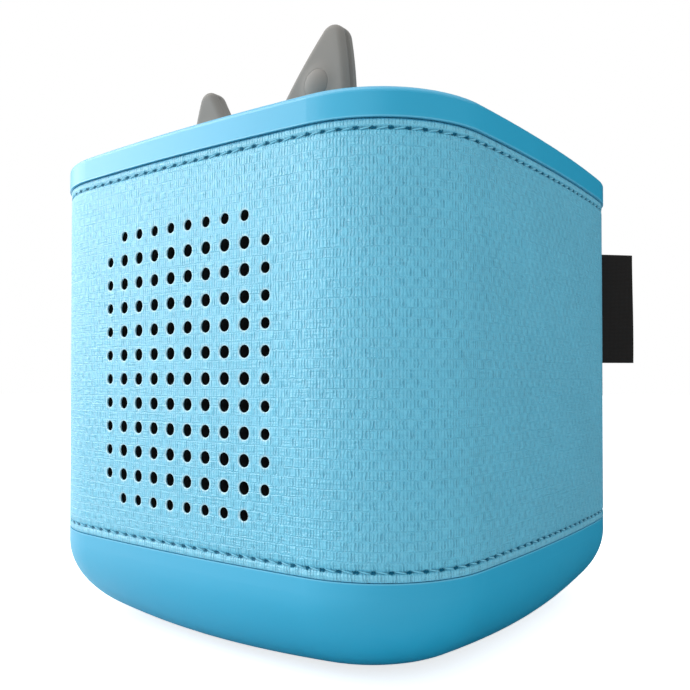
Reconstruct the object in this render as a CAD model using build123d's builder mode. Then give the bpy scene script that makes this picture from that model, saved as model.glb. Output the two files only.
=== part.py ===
from build123d import *
import os
from collections import namedtuple
from math import atan2, cos, degrees, radians, sin, sqrt, tan

os.makedirs("parts", exist_ok=True)

# Story player for young children: a rounded cube in a fabric sleeve, with two ear buttons on top.
# All sizes are in millimetres. The origin is the middle of the base, on the surface that the
# player stands on. +Z is up, and the perforated front faces -Y.

# ------------------------------------------------------------------ driving dimensions
# Outline in plan: a square with bulged sides and round corners
HALF_WIDTH = 60.0
SIDE_RADIUS = 530.0
CORNER_RADIUS = 25.8

# Heights of the three outer parts, from the feet up
FOOT_DROP = 0.8
BASE_HEIGHT = 21.6
FABRIC_HEIGHT = 85.7
CAP_HEIGHT = 7.0

# How the base and the cap round in from the outline to their flat ends
BASE_STRAIGHT = 3.2
BASE_INSET = 17.0
BASE_END_CORNER_RADIUS = 16.0
BASE_END_SIDE_RADIUS = 92.0
CAP_STRAIGHT = 4.6
CAP_INSET = 7.5
CAP_PROUD = 0.45
LOFT_STEPS = 8

# Walls, from the outside in
FABRIC_THICKNESS = 1.0
FOAM_THICKNESS = 2.0
MESH_THICKNESS = 0.4
CHASSIS_WALL = 2.2
BASE_WALL = 3.2
BASE_FLOOR = 2.4
CAP_PLATE = 3.6
SKIRT_WALL = 1.8
SKIRT_DEPTH = 8.0
LAYER_GAP = 0.1
FIT_GAP = 0.2

# How far a part that joins another sinks into it, and how far a cut runs past what it cuts
WELD = 0.5
CUT_SPARE = 1.0

# Perforation of the front
HOLE_PITCH = 5.461
HOLE_COLUMNS = 10
HOLE_ROWS = 12
HOLE_RADIUS = 1.2
EDGE_HOLE_RADIUS = 1.0
HOLE_FIELD_BOTTOM = 32.6
FOAM_HOLE_EXTRA = 0.3
MESH_MARGIN = 6.0

# Woven label sewn into the back corner
LABEL_LENGTH = 12.7
LABEL_HEIGHT = 32.0
LABEL_THICKNESS = 0.9
LABEL_BOTTOM = 64.5

# Screws, one size throughout
SCREW_RADIUS = 1.4
SCREW_HEAD_RADIUS = 2.6
SCREW_HEAD_HEIGHT = 1.7
SCREW_SLOT_LENGTH = 3.1
SCREW_SLOT_WIDTH = 0.7
SCREW_SLOT_DEPTH = 0.9
SCREW_GAP = 0.1
SCREW_TIP_GAP = 2.0
BOARD_SCREW_LENGTH = 4.6
EAR_SCREW_LENGTH = 4.1
SPEAKER_SCREW_LENGTH = 3.6
POST_RADIUS = 3.0

# Base: corner posts, feet, charging contacts and headphone socket
BASE_POST_X = HALF_WIDTH - 31.0
BASE_POST_RADIUS = 4.5
CHASSIS_BOTTOM = 17.5
BASE_SCREW_SEAT = 11.0
FOOT_RADIUS = 6.0
FOOT_THICKNESS = 1.6
CONTACT_RADIUS = 2.5
CONTACT_SPACING = 12.0
CHARGE_BOARD_LENGTH = 36.0
CHARGE_BOARD_WIDTH = 18.0
CHARGE_BOARD_LIFT = 2.0
CHARGE_POST_X = 14.0
SOCKET_POST_GAP = 1.5
SOCKET_Z = 14.0
SOCKET_BORE_RADIUS = 1.8
SOCKET_BORE_LENGTH = 14.0
SOCKET_NOSE_RADIUS = 3.0
SOCKET_NOSE_INSET = 1.0
SOCKET_BODY_WIDTH = 8.0
SOCKET_BODY_HEIGHT = 6.0
SOCKET_BODY_LENGTH = 13.5
SOCKET_BODY_FRONT = HALF_WIDTH - 20.0
SOCKET_BOARD_WIDTH = 22.0
SOCKET_BOARD_BACK = HALF_WIDTH - 10.0
SOCKET_BOARD_LENGTH = 20.0

# Chassis
CHASSIS_FLOOR = 2.2
CHASSIS_BOSS_HEIGHT = 8.0
CABLE_HOLE_RADIUS = 5.0
CABLE_HOLE_GAP = 2.3
GUSSET_THICKNESS = 2.4
GUSSET_MARGIN = 6.0
CAP_POST_X = HALF_WIDTH - 19.0
CAP_POST_RADIUS = 4.0

# Cap top: soft pad with a round place for the figure, reader board, magnets and light
PAD_SIDE_MARGIN = 18.0
PAD_FRONT = 38.0 - HALF_WIDTH
PAD_BACK = HALF_WIDTH - 14.0
PAD_CORNER = 14.0
PAD_RECESS = 1.2
PAD_THICKNESS = 1.1
SPOT_FRONT_MARGIN = 14.0
SPOT_BACK_MARGIN = 10.0
SPOT_DEPTH = 0.5
MAGNET_RADIUS = 5.0
MAGNET_THICKNESS = 1.7
MAGNET_SPACING = 16.0
READER_MARGIN = 2.0
READER_WIDTH = 60.0
BOARD_POST_INSET = 4.0
READER_COIL_RADIUS = 20.0
READER_COIL_TURNS = 4
READER_COIL_PITCH = 1.2
READER_COIL_WIDTH = 0.6
COIL_THICKNESS = 0.15
BOARD_THICKNESS = 1.6
LIGHT_RADIUS = 1.8
LIGHT_MARGIN = 7.0
LED_SIZE = 2.8
LED_HEIGHT = 0.9

# Ears: each is a soft skin on a rigid core, with a button on its front face
EAR_Y = 29.0 - HALF_WIDTH
EAR_THICKNESS = 6.0
EAR_EDGE_RADIUS = 1.4
EAR_SKIN = 1.2
EAR_FLANGE = 1.6
EAR_FLANGE_THICKNESS = 1.0
EAR_INNER_LEAN = 45.0
EAR_OUTER_LEAN = 10.0
EAR_FRAME_THICKNESS = 1.5
EAR_FRAME_X = 31.0
EAR_FRAME_WIDTH = 13.0
LARGE_EAR_HEIGHT = 26.2
LARGE_EAR_OUTER_X = 25.4
LARGE_EAR_INNER_X = -0.6
LARGE_EAR_TIP_X = 19.6
LARGE_EAR_TIP_RADIUS = 4.3
LARGE_BUTTON_X = 17.1
LARGE_BUTTON_HEIGHT = 12.5
SMALL_EAR_HEIGHT = 19.8
SMALL_EAR_OUTER_X = 26.0
SMALL_EAR_INNER_X = 6.0
SMALL_EAR_TIP_X = 20.2
SMALL_EAR_TIP_RADIUS = 2.7
SMALL_BUTTON_X = 17.8
SMALL_BUTTON_HEIGHT = 6.5
BUTTON_RADIUS = 3.4
BUTTON_DOME = 0.9
BUTTON_FLANGE_RADIUS = 4.0
BUTTON_FLANGE_THICKNESS = 0.5
BUTTON_TRAVEL = 0.6
PLUNGER_RADIUS = 1.0
PLUNGER_LENGTH = 1.1
SWITCH_SIZE = 6.0
SWITCH_THICKNESS = 1.2
SWITCH_GAP = 0.3
EAR_BOARD_WIDTH = 8.0
EAR_BOARD_THICKNESS = 0.6
EAR_BOARD_TAIL = 4.5

# Loudspeaker, facing the front
SPEAKER_Z = 62.0
SPEAKER_FACE = HALF_WIDTH - 8.4
SPEAKER_OPENING_RADIUS = 23.5
SPEAKER_FLANGE_RADIUS = 31.0
SPEAKER_SCREW_RADIUS = 28.4
GASKET_THICKNESS = 0.8
GASKET_RADIUS = 25.8
BASKET_THICKNESS = 1.0
CONE_RADIUS = 18.0
CONE_DEPTH = 8.0
CONE_THICKNESS = 0.5
CONE_TRAVEL = 0.8
SURROUND_WIDTH = 4.8
DUST_CAP_RISE = 2.4
COIL_RADIUS = 6.4
COIL_WALL = 0.4
COIL_AIR_GAP = 0.4
COIL_LENGTH = 9.0
CONE_NECK = 0.6
SPIDER_SETBACK = 1.6
PLATE_SETBACK = 4.0
BASKET_WINDOW_SETBACK = 2.0
BASKET_WINDOW_CORNER = 1.5
POLE_RADIUS = 5.6
MAGNET_RING_RADIUS = 13.5
MAGNET_RING_THICKNESS = 6.0
STEEL_PLATE = 2.0

# Internal leads
LEAD_RADIUS = 1.0
LEAD_BEND_SHARE = 0.45
HEADER_WIDTH = 6.0
HEADER_LENGTH = 6.0
HEADER_DEPTH = 5.0
LOW_HEADER_MARGIN = 2.0
HIGH_HEADER_MARGIN = 4.0
SPEAKER_HEADER_X = -22.0
SOCKET_HEADER_X = -11.0
BASE_HEADER_X = 0.0
BATTERY_HEADER_X = 22.0
EAR_HEADER_X = 12.0

# Battery and main board
CELL_RADIUS = 9.2
CELL_LENGTH = 65.0
CELL_GAP = 0.6
BATTERY_Y = 0.0
TRAY_WALL = 1.5
TRAY_HEIGHT = 12.0
STRAP_WIDTH = 12.0
STRAP_THICKNESS = 0.6
STRAP_FOOT = 8.0
MAIN_BOARD_WIDTH = 72.0
MAIN_BOARD_HEIGHT = 52.0
MAIN_BOARD_BOTTOM = 44.0
MAIN_BOARD_Y = HALF_WIDTH - 14.0

# ------------------------------------------------------------------ derived levels and offsets
BASE_BOTTOM = FOOT_DROP
SEAM_LOW = BASE_BOTTOM + BASE_HEIGHT
SEAM_HIGH = SEAM_LOW + FABRIC_HEIGHT
CAP_TOP = SEAM_HIGH + CAP_HEIGHT
CAP_UNDERSIDE = CAP_TOP - CAP_PLATE
FLOOR_TOP = BASE_BOTTOM + BASE_FLOOR
CHASSIS_TOP = SEAM_HIGH + SKIRT_WALL
GUSSET_TOP = SEAM_HIGH - SKIRT_DEPTH - LAYER_GAP
FOAM_INSET = FABRIC_THICKNESS + LAYER_GAP
MESH_INSET = FOAM_INSET + FOAM_THICKNESS + LAYER_GAP
CHASSIS_INSET = MESH_INSET + MESH_THICKNESS + LAYER_GAP
CHASSIS_INNER = CHASSIS_INSET + CHASSIS_WALL
SKIRT_INSET = CHASSIS_INNER + FIT_GAP
PILOT_RADIUS = SCREW_RADIUS + SCREW_GAP
SOCKET_X = BASE_POST_X - BASE_POST_RADIUS - SOCKET_POST_GAP - SOCKET_BOARD_WIDTH / 2
SOCKET_BOARD_FRONT = SOCKET_BOARD_BACK - SOCKET_BOARD_LENGTH
GUSSET_SPAN = CAP_POST_X * sqrt(2) - GUSSET_MARGIN
PAD_WIDTH = 2 * (HALF_WIDTH - PAD_SIDE_MARGIN)
PAD_LENGTH = PAD_BACK - PAD_FRONT
SPOT_RADIUS = (PAD_LENGTH - SPOT_FRONT_MARGIN - SPOT_BACK_MARGIN) / 2
SPOT_Y = PAD_BACK - SPOT_BACK_MARGIN - SPOT_RADIUS
LIGHT_Y = PAD_FRONT + LIGHT_MARGIN
READER_LENGTH = PAD_LENGTH - 2 * READER_MARGIN
READER_POST_X = READER_WIDTH / 2 - BOARD_POST_INSET
READER_POST_Y = READER_LENGTH / 2 - BOARD_POST_INSET
MAIN_BOARD_POST_X = MAIN_BOARD_WIDTH / 2 - BOARD_POST_INSET
MAIN_BOARD_POST_Z = MAIN_BOARD_HEIGHT / 2 - BOARD_POST_INSET
CELL_SPACING = 2 * CELL_RADIUS + CELL_GAP
BOARD_PILOT_DEPTH = BOARD_SCREW_LENGTH - BOARD_THICKNESS + FIT_GAP
EAR_FRONT_Y = EAR_Y - EAR_THICKNESS / 2
EAR_FRAME_TOP = CAP_UNDERSIDE - EAR_FLANGE_THICKNESS
FOUR_WAYS = ((1, 1), (-1, 1), (-1, -1), (1, -1))

Ear = namedtuple("Ear", "name side outer inner tip_x height tip_radius button_x button_height")
EARS = (
    Ear("large", 1, LARGE_EAR_OUTER_X, LARGE_EAR_INNER_X, LARGE_EAR_TIP_X, LARGE_EAR_HEIGHT,
        LARGE_EAR_TIP_RADIUS, LARGE_BUTTON_X, LARGE_BUTTON_HEIGHT),
    Ear("small", -1, SMALL_EAR_OUTER_X, SMALL_EAR_INNER_X, SMALL_EAR_TIP_X, SMALL_EAR_HEIGHT,
        SMALL_EAR_TIP_RADIUS, SMALL_BUTTON_X, SMALL_BUTTON_HEIGHT),
)


# ------------------------------------------------------------------ shared shapes
def save(piece, label):
    """Name a finished piece and write it to its own file."""
    piece.part.label = label
    export_step(piece.part, f"parts/{label}.step")


def corner_centre(half, side_radius, corner_radius):
    """How far the middle of a corner's arc is from the middle of the outline, in x and in y."""
    side_centre = side_radius - half
    return (sqrt(8 * (side_radius - corner_radius) ** 2 - 4 * side_centre**2) - 2 * side_centre) / 4


def body_outline(half, side_radius, corner_radius, mode=Mode.ADD):
    """Draw a square with bulged sides and round corners in the open sketch."""
    side_centre = side_radius - half
    corner_middle = corner_centre(half, side_radius, corner_radius)
    half_angle = degrees(atan2(corner_middle, corner_middle + side_centre))
    with BuildLine() as edge:
        for normal in (-90, 0, 90, 180):
            side = Vector(-side_centre, 0).rotate(Axis.Z, normal)
            corner = Vector(corner_middle, corner_middle).rotate(Axis.Z, normal)
            CenterArc(side, side_radius, normal - half_angle, 2 * half_angle)
            CenterArc(corner, corner_radius, normal + half_angle, 90 - 2 * half_angle)
    make_face(edge.line, mode=mode)


def inset_outline(inset, mode=Mode.ADD):
    """Draw the body's outline, moved in by an even distance, in the open sketch."""
    body_outline(HALF_WIDTH - inset, SIDE_RADIUS - inset, CORNER_RADIUS - inset, mode)


def sleeve(bottom, top, outer_inset, inner_inset, mode=Mode.ADD):
    """Add a tube that follows the body's outline."""
    with BuildSketch(Plane.XY.offset(bottom)) as ring:
        inset_outline(outer_inset)
        inset_outline(inner_inset, Mode.SUBTRACT)
    extrude(ring.sketch, amount=top - bottom, mode=mode)


def rounded_end(z, direction, straight, height, inset, end_side, end_corner, grow, mode=Mode.ADD):
    """Add a straight stretch of the outline that then rounds in, as a quarter ellipse, to a flat end."""
    with BuildSketch(Plane.XY.offset(z)) as start:
        inset_outline(-grow)
    extrude(start.sketch, amount=direction * straight, mode=mode)
    sections = []
    for step in range(LOFT_STEPS + 1):
        turn = radians(90 * step / LOFT_STEPS)
        blend = 1 - cos(turn)
        side_radius = 1 / ((1 - blend) / SIDE_RADIUS + blend / end_side)
        corner_radius = CORNER_RADIUS + blend * (end_corner - CORNER_RADIUS)
        level = straight + (height - straight) * sin(turn)
        with BuildSketch(Plane.XY.offset(z + direction * level)) as section:
            body_outline(HALF_WIDTH - blend * inset + grow, side_radius + grow, corner_radius + grow)
        sections.append(section.sketch.face())
    loft(sections, mode=mode)


def discs(plane, points, radius, amount, mode=Mode.ADD):
    """Add equal round posts, or cut equal round holes, from a plane."""
    with BuildSketch(plane) as profile:
        with Locations(*points):
            Circle(radius)
    extrude(profile.sketch, amount=amount, mode=mode)


def block(plane, centre, width, height, amount, mode=Mode.ADD):
    """Add or cut one rectangular block from a plane."""
    with BuildSketch(plane) as profile:
        with Locations(centre):
            Rectangle(width, height)
    extrude(profile.sketch, amount=amount, mode=mode)


def screws(plane, points, head_side, length):
    """Add cross-head screws seated on a plane, with their heads on one side of it."""
    discs(plane, points, SCREW_HEAD_RADIUS, head_side * SCREW_HEAD_HEIGHT)
    discs(plane, points, SCREW_RADIUS, -head_side * length)
    with BuildSketch(plane.offset(head_side * SCREW_HEAD_HEIGHT)) as slots:
        with Locations(*points):
            Rectangle(SCREW_SLOT_LENGTH, SCREW_SLOT_WIDTH)
            Rectangle(SCREW_SLOT_WIDTH, SCREW_SLOT_LENGTH)
    extrude(slots.sketch, amount=-head_side * SCREW_SLOT_DEPTH, mode=Mode.SUBTRACT)


def four_corners(x, y=None):
    """Four points, one in each corner."""
    reach_y = x if y is None else y
    return [(sx * x, sy * reach_y) for sx, sy in FOUR_WAYS]


def hole_centres(edge):
    """Centres of the perforation's edge holes or inner holes, as x and z. Its corners have none."""
    centres = []
    for column in range(HOLE_COLUMNS):
        for row in range(HOLE_ROWS):
            side = column in (0, HOLE_COLUMNS - 1)
            end = row in (0, HOLE_ROWS - 1)
            if (side and end) or (side or end) != edge:
                continue
            along = (column - (HOLE_COLUMNS - 1) / 2) * HOLE_PITCH
            x = SIDE_RADIUS * sin(along / SIDE_RADIUS)
            centres.append((x, HOLE_FIELD_BOTTOM + row * HOLE_PITCH))
    return centres


def perforate(extra):
    """Cut the front's pattern of holes through the open part, each hole wider by extra."""
    front = Plane.XZ.offset(HALF_WIDTH + CUT_SPARE)
    depth = FOAM_INSET + FOAM_THICKNESS + 2 * CUT_SPARE
    discs(front, hole_centres(False), HOLE_RADIUS + extra, -depth, Mode.SUBTRACT)
    discs(front, hole_centres(True), EDGE_HOLE_RADIUS + extra, -depth, Mode.SUBTRACT)


# ------------------------------------------------------------------ base
base_posts = four_corners(BASE_POST_X)
charge_posts = [(-CHARGE_POST_X, 0), (CHARGE_POST_X, 0)]
contact_points = [(-CONTACT_SPACING / 2, 0), (CONTACT_SPACING / 2, 0)]
charge_board_bottom = FLOOR_TOP + CHARGE_BOARD_LIFT
socket_board_top = SOCKET_Z - SOCKET_BODY_HEIGHT / 2
socket_board_bottom = socket_board_top - BOARD_THICKNESS
socket_post_y = SOCKET_BOARD_FRONT + POST_RADIUS
socket_posts = [(SOCKET_X - SOCKET_BOARD_WIDTH / 2 + POST_RADIUS, socket_post_y),
                (SOCKET_X + SOCKET_BOARD_WIDTH / 2 - POST_RADIUS, socket_post_y)]
socket_nose_end = HALF_WIDTH - SOCKET_NOSE_INSET

with BuildPart() as bottom_shell:
    rounded_end(SEAM_LOW, -1, BASE_STRAIGHT, BASE_HEIGHT, BASE_INSET, BASE_END_SIDE_RADIUS,
                BASE_END_CORNER_RADIUS, 0)
    rounded_end(SEAM_LOW, -1, BASE_STRAIGHT, BASE_HEIGHT - BASE_FLOOR, BASE_INSET, BASE_END_SIDE_RADIUS,
                BASE_END_CORNER_RADIUS, -BASE_WALL, Mode.SUBTRACT)
    discs(Plane.XY.offset(CHASSIS_BOTTOM), base_posts, BASE_POST_RADIUS, FLOOR_TOP - WELD - CHASSIS_BOTTOM)
    discs(Plane.XY.offset(BASE_BOTTOM), base_posts, FOOT_RADIUS + LAYER_GAP, FOOT_THICKNESS - FOOT_DROP,
          Mode.SUBTRACT)
    discs(Plane.XY.offset(BASE_BOTTOM), base_posts, SCREW_HEAD_RADIUS + FIT_GAP,
          BASE_SCREW_SEAT - BASE_BOTTOM, Mode.SUBTRACT)
    discs(Plane.XY.offset(BASE_BOTTOM), base_posts, PILOT_RADIUS, CHASSIS_BOTTOM, Mode.SUBTRACT)
    discs(Plane.XY.offset(charge_board_bottom), charge_posts, POST_RADIUS, -CHARGE_BOARD_LIFT - WELD)
    discs(Plane.XY.offset(charge_board_bottom), charge_posts, PILOT_RADIUS, -BOARD_PILOT_DEPTH,
          Mode.SUBTRACT)
    discs(Plane.XY.offset(BASE_BOTTOM), contact_points, CONTACT_RADIUS + LAYER_GAP, BASE_FLOOR,
          Mode.SUBTRACT)
    discs(Plane.XY.offset(socket_board_bottom), socket_posts, POST_RADIUS,
          FLOOR_TOP - WELD - socket_board_bottom)
    discs(Plane.XY.offset(socket_board_bottom), socket_posts, PILOT_RADIUS, -BOARD_PILOT_DEPTH,
          Mode.SUBTRACT)
    discs(Plane.XZ.offset(-HALF_WIDTH - CUT_SPARE), [(SOCKET_X, SOCKET_Z)], SOCKET_NOSE_RADIUS + LAYER_GAP,
          2 * BASE_WALL + CUT_SPARE, Mode.SUBTRACT)
save(bottom_shell, "bottom_shell")

with BuildPart() as rubber_feet:
    discs(Plane.XY, base_posts, FOOT_RADIUS, FOOT_THICKNESS)
save(rubber_feet, "rubber_feet")

with BuildPart() as base_screws:
    screws(Plane.XY.offset(BASE_SCREW_SEAT), base_posts, -1,
           CHASSIS_BOTTOM + CHASSIS_FLOOR + CHASSIS_BOSS_HEIGHT - SCREW_TIP_GAP - BASE_SCREW_SEAT)
save(base_screws, "base_screws")

with BuildPart() as charge_contacts:
    discs(Plane.XY.offset(BASE_BOTTOM), contact_points, CONTACT_RADIUS, charge_board_bottom - BASE_BOTTOM)
save(charge_contacts, "charge_contacts")

with BuildPart() as charge_board:
    block(Plane.XY.offset(charge_board_bottom), (0, 0), CHARGE_BOARD_LENGTH, CHARGE_BOARD_WIDTH,
          BOARD_THICKNESS)
    discs(Plane.XY.offset(charge_board_bottom), charge_posts, PILOT_RADIUS, BOARD_THICKNESS, Mode.SUBTRACT)
save(charge_board, "charge_board")

with BuildPart() as socket_board:
    block(Plane.XY.offset(socket_board_bottom), (SOCKET_X, (SOCKET_BOARD_FRONT + SOCKET_BOARD_BACK) / 2),
          SOCKET_BOARD_WIDTH, SOCKET_BOARD_BACK - SOCKET_BOARD_FRONT, BOARD_THICKNESS)
    discs(Plane.XY.offset(socket_board_bottom), socket_posts, PILOT_RADIUS, BOARD_THICKNESS, Mode.SUBTRACT)
save(socket_board, "socket_board")

with BuildPart() as headphone_socket:
    socket_front = Plane.XZ.offset(-SOCKET_BODY_FRONT)
    block(socket_front, (SOCKET_X, SOCKET_Z), SOCKET_BODY_WIDTH, SOCKET_BODY_HEIGHT, -SOCKET_BODY_LENGTH)
    discs(socket_front, [(SOCKET_X, SOCKET_Z)], SOCKET_NOSE_RADIUS, SOCKET_BODY_FRONT - socket_nose_end)
    discs(Plane.XZ.offset(-socket_nose_end), [(SOCKET_X, SOCKET_Z)], SOCKET_BORE_RADIUS,
          SOCKET_BORE_LENGTH, Mode.SUBTRACT)
save(headphone_socket, "headphone_socket")

# ------------------------------------------------------------------ chassis
cap_posts = four_corners(CAP_POST_X)
speaker_screw_points = [(x, SPEAKER_Z + z) for x, z in four_corners(SPEAKER_SCREW_RADIUS / sqrt(2))]
main_board_middle = MAIN_BOARD_BOTTOM + MAIN_BOARD_HEIGHT / 2
main_board_posts = [(x, main_board_middle + z)
                    for x, z in four_corners(MAIN_BOARD_POST_X, MAIN_BOARD_POST_Z)]
main_board_back = MAIN_BOARD_Y + BOARD_THICKNESS
chassis_floor_top = CHASSIS_BOTTOM + CHASSIS_FLOOR
tray_length = CELL_LENGTH + 2 * TRAY_WALL + 2 * FIT_GAP
tray_width = CELL_SPACING + 2 * CELL_RADIUS + 2 * TRAY_WALL + 2 * FIT_GAP
strap_screw_y = tray_width / 2 + STRAP_THICKNESS + FIT_GAP + STRAP_FOOT / 2
strap_screw_points = [(0, BATTERY_Y - strap_screw_y), (0, BATTERY_Y + strap_screw_y)]
cable_hole_y = BATTERY_Y + strap_screw_y + PILOT_RADIUS + CABLE_HOLE_GAP + CABLE_HOLE_RADIUS

with BuildPart() as chassis:
    sleeve(CHASSIS_BOTTOM, CHASSIS_TOP, CHASSIS_INSET, CHASSIS_INNER)
    with BuildSketch(Plane.XY.offset(CHASSIS_BOTTOM)):
        inset_outline(CHASSIS_INNER - WELD)
    extrude(amount=CHASSIS_FLOOR)
    discs(Plane.XY.offset(CHASSIS_BOTTOM), base_posts, BASE_POST_RADIUS, CHASSIS_FLOOR + CHASSIS_BOSS_HEIGHT)
    discs(Plane.XY.offset(CHASSIS_BOTTOM), base_posts, PILOT_RADIUS, CHASSIS_FLOOR + CHASSIS_BOSS_HEIGHT,
          Mode.SUBTRACT)
    discs(Plane.XY.offset(CHASSIS_BOTTOM), strap_screw_points, PILOT_RADIUS, CHASSIS_FLOOR, Mode.SUBTRACT)
    discs(Plane.XY.offset(CHASSIS_BOTTOM), [(0, cable_hole_y)], CABLE_HOLE_RADIUS, CHASSIS_FLOOR,
          Mode.SUBTRACT)
    with BuildSketch(Plane.XY.offset(GUSSET_TOP)):
        inset_outline(CHASSIS_INNER - WELD)
        Rectangle(2 * GUSSET_SPAN, 2 * GUSSET_SPAN, rotation=45, mode=Mode.SUBTRACT)
        with Locations(*cap_posts):
            Circle(PILOT_RADIUS, mode=Mode.SUBTRACT)
    extrude(amount=-GUSSET_THICKNESS)
    discs(Plane.XZ.offset(SPEAKER_FACE), [(0, SPEAKER_Z)], SPEAKER_FLANGE_RADIUS,
          HALF_WIDTH - CHASSIS_INNER + WELD - SPEAKER_FACE)
    discs(Plane.XZ.offset(SPEAKER_FACE), [(0, SPEAKER_Z)], SPEAKER_OPENING_RADIUS, HALF_WIDTH,
          Mode.SUBTRACT)
    discs(Plane.XZ.offset(SPEAKER_FACE), speaker_screw_points, PILOT_RADIUS, CHASSIS_WALL, Mode.SUBTRACT)
    discs(Plane.XZ.offset(-main_board_back), main_board_posts, POST_RADIUS,
          main_board_back - HALF_WIDTH + CHASSIS_INNER - WELD)
    discs(Plane.XZ.offset(-main_board_back), main_board_posts, PILOT_RADIUS, -BOARD_PILOT_DEPTH,
          Mode.SUBTRACT)
save(chassis, "chassis")

# ------------------------------------------------------------------ fabric, foam, mesh and label
def label_block(start_inset, length, thickness, height, mode):
    """Add or cut an upright plate that stands out of the back corner along the diagonal."""
    diagonal = Plane(origin=(0, 0, LABEL_BOTTOM + LABEL_HEIGHT / 2), x_dir=(1, 1, 0), z_dir=(1, -1, 0))
    with BuildSketch(diagonal) as plate:
        with Locations((body_corner - start_inset + length / 2, 0)):
            Rectangle(length, height)
    extrude(plate.sketch, amount=thickness / 2, both=True, mode=mode)


def label_slot():
    """Cut the label's way through the open part."""
    label_block(label_root + CUT_SPARE, label_root + 2 * CUT_SPARE, LABEL_THICKNESS + 2 * LAYER_GAP,
                LABEL_HEIGHT + 2 * LAYER_GAP, Mode.SUBTRACT)


body_corner = corner_centre(HALF_WIDTH, SIDE_RADIUS, CORNER_RADIUS) * sqrt(2) + CORNER_RADIUS
label_root = MESH_INSET - LAYER_GAP

with BuildPart() as fabric_sleeve:
    sleeve(SEAM_LOW + LAYER_GAP, SEAM_HIGH - LAYER_GAP, 0, FABRIC_THICKNESS)
    perforate(0)
    label_slot()
save(fabric_sleeve, "fabric_sleeve")

with BuildPart() as foam_liner:
    sleeve(SEAM_LOW + LAYER_GAP, SEAM_HIGH - LAYER_GAP, FOAM_INSET, FOAM_INSET + FOAM_THICKNESS)
    perforate(FOAM_HOLE_EXTRA)
    label_slot()
save(foam_liner, "foam_liner")

with BuildPart() as acoustic_mesh:
    sleeve(SEAM_LOW + LAYER_GAP, SEAM_HIGH - LAYER_GAP, MESH_INSET, MESH_INSET + MESH_THICKNESS)
    with BuildSketch(Plane.XZ):
        with Locations((0, HOLE_FIELD_BOTTOM + (HOLE_ROWS - 1) / 2 * HOLE_PITCH)):
            RectangleRounded((HOLE_COLUMNS - 1) * HOLE_PITCH + 2 * MESH_MARGIN,
                             (HOLE_ROWS - 1) * HOLE_PITCH + 2 * MESH_MARGIN, MESH_MARGIN)
    extrude(amount=HALF_WIDTH, mode=Mode.INTERSECT)
save(acoustic_mesh, "acoustic_mesh")

with BuildPart() as label_tab:
    label_block(label_root, label_root + LABEL_LENGTH, LABEL_THICKNESS, LABEL_HEIGHT, Mode.ADD)
save(label_tab, "label_tab")

# ------------------------------------------------------------------ cap
pad_middle = (PAD_FRONT + PAD_BACK) / 2
reader_posts = [(x, SPOT_Y + y) for x, y in four_corners(READER_POST_X, READER_POST_Y)]
reader_top = CAP_UNDERSIDE - MAGNET_THICKNESS - 2 * LAYER_GAP
reader_bottom = reader_top - BOARD_THICKNESS
ear_frame_bottom = EAR_FRAME_TOP - EAR_FRAME_THICKNESS
ear_frame_points = [(-EAR_FRAME_X, EAR_Y), (EAR_FRAME_X, EAR_Y)]
magnet_points = [(-MAGNET_SPACING / 2, SPOT_Y), (MAGNET_SPACING / 2, SPOT_Y)]


def ear_middle(ear):
    """Middle of an ear where it meets the cap."""
    return (ear.side * (ear.outer + ear.inner) / 2, EAR_Y)


with BuildPart() as top_cap:
    rounded_end(SEAM_HIGH, 1, CAP_STRAIGHT, CAP_HEIGHT, CAP_INSET, SIDE_RADIUS - CAP_INSET,
                CORNER_RADIUS - CAP_INSET, CAP_PROUD)
    with BuildSketch(Plane.XY.offset(SEAM_HIGH)):
        inset_outline(SKIRT_INSET + SKIRT_WALL)
    extrude(amount=CAP_UNDERSIDE - SEAM_HIGH, mode=Mode.SUBTRACT)
    sleeve(SEAM_HIGH, CHASSIS_TOP + LAYER_GAP, CHASSIS_INSET - FIT_GAP, SKIRT_INSET, Mode.SUBTRACT)
    sleeve(SEAM_HIGH - SKIRT_DEPTH, SEAM_HIGH + WELD, SKIRT_INSET, SKIRT_INSET + SKIRT_WALL)
    discs(Plane.XY.offset(CAP_UNDERSIDE), cap_posts, CAP_POST_RADIUS, GUSSET_TOP - CAP_UNDERSIDE)
    discs(Plane.XY.offset(GUSSET_TOP), cap_posts, PILOT_RADIUS, SKIRT_DEPTH, Mode.SUBTRACT)
    discs(Plane.XY.offset(CAP_UNDERSIDE), reader_posts, POST_RADIUS, reader_top - CAP_UNDERSIDE)
    discs(Plane.XY.offset(reader_top), reader_posts, PILOT_RADIUS, BOARD_PILOT_DEPTH, Mode.SUBTRACT)
    discs(Plane.XY.offset(CAP_UNDERSIDE), ear_frame_points, POST_RADIUS, EAR_FRAME_TOP - CAP_UNDERSIDE)
    discs(Plane.XY.offset(EAR_FRAME_TOP), ear_frame_points, PILOT_RADIUS,
          EAR_SCREW_LENGTH - EAR_FRAME_THICKNESS + FIT_GAP, Mode.SUBTRACT)
    with BuildSketch(Plane.XY.offset(CAP_TOP - PAD_RECESS)):
        with Locations((0, pad_middle)):
            RectangleRounded(PAD_WIDTH + 2 * FIT_GAP, PAD_LENGTH + 2 * FIT_GAP, PAD_CORNER + FIT_GAP)
    extrude(amount=PAD_RECESS, mode=Mode.SUBTRACT)
    discs(Plane.XY.offset(CAP_UNDERSIDE), [(0, LIGHT_Y)], LIGHT_RADIUS + LAYER_GAP, CAP_PLATE, Mode.SUBTRACT)
    for ear in EARS:
        with BuildSketch(Plane.XY.offset(CAP_UNDERSIDE)):
            with Locations(ear_middle(ear)):
                RectangleRounded(ear.outer - ear.inner + 2 * LAYER_GAP, EAR_THICKNESS + 2 * LAYER_GAP,
                                 EAR_EDGE_RADIUS + LAYER_GAP)
        extrude(amount=CAP_PLATE, mode=Mode.SUBTRACT)
save(top_cap, "top_cap")

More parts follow.
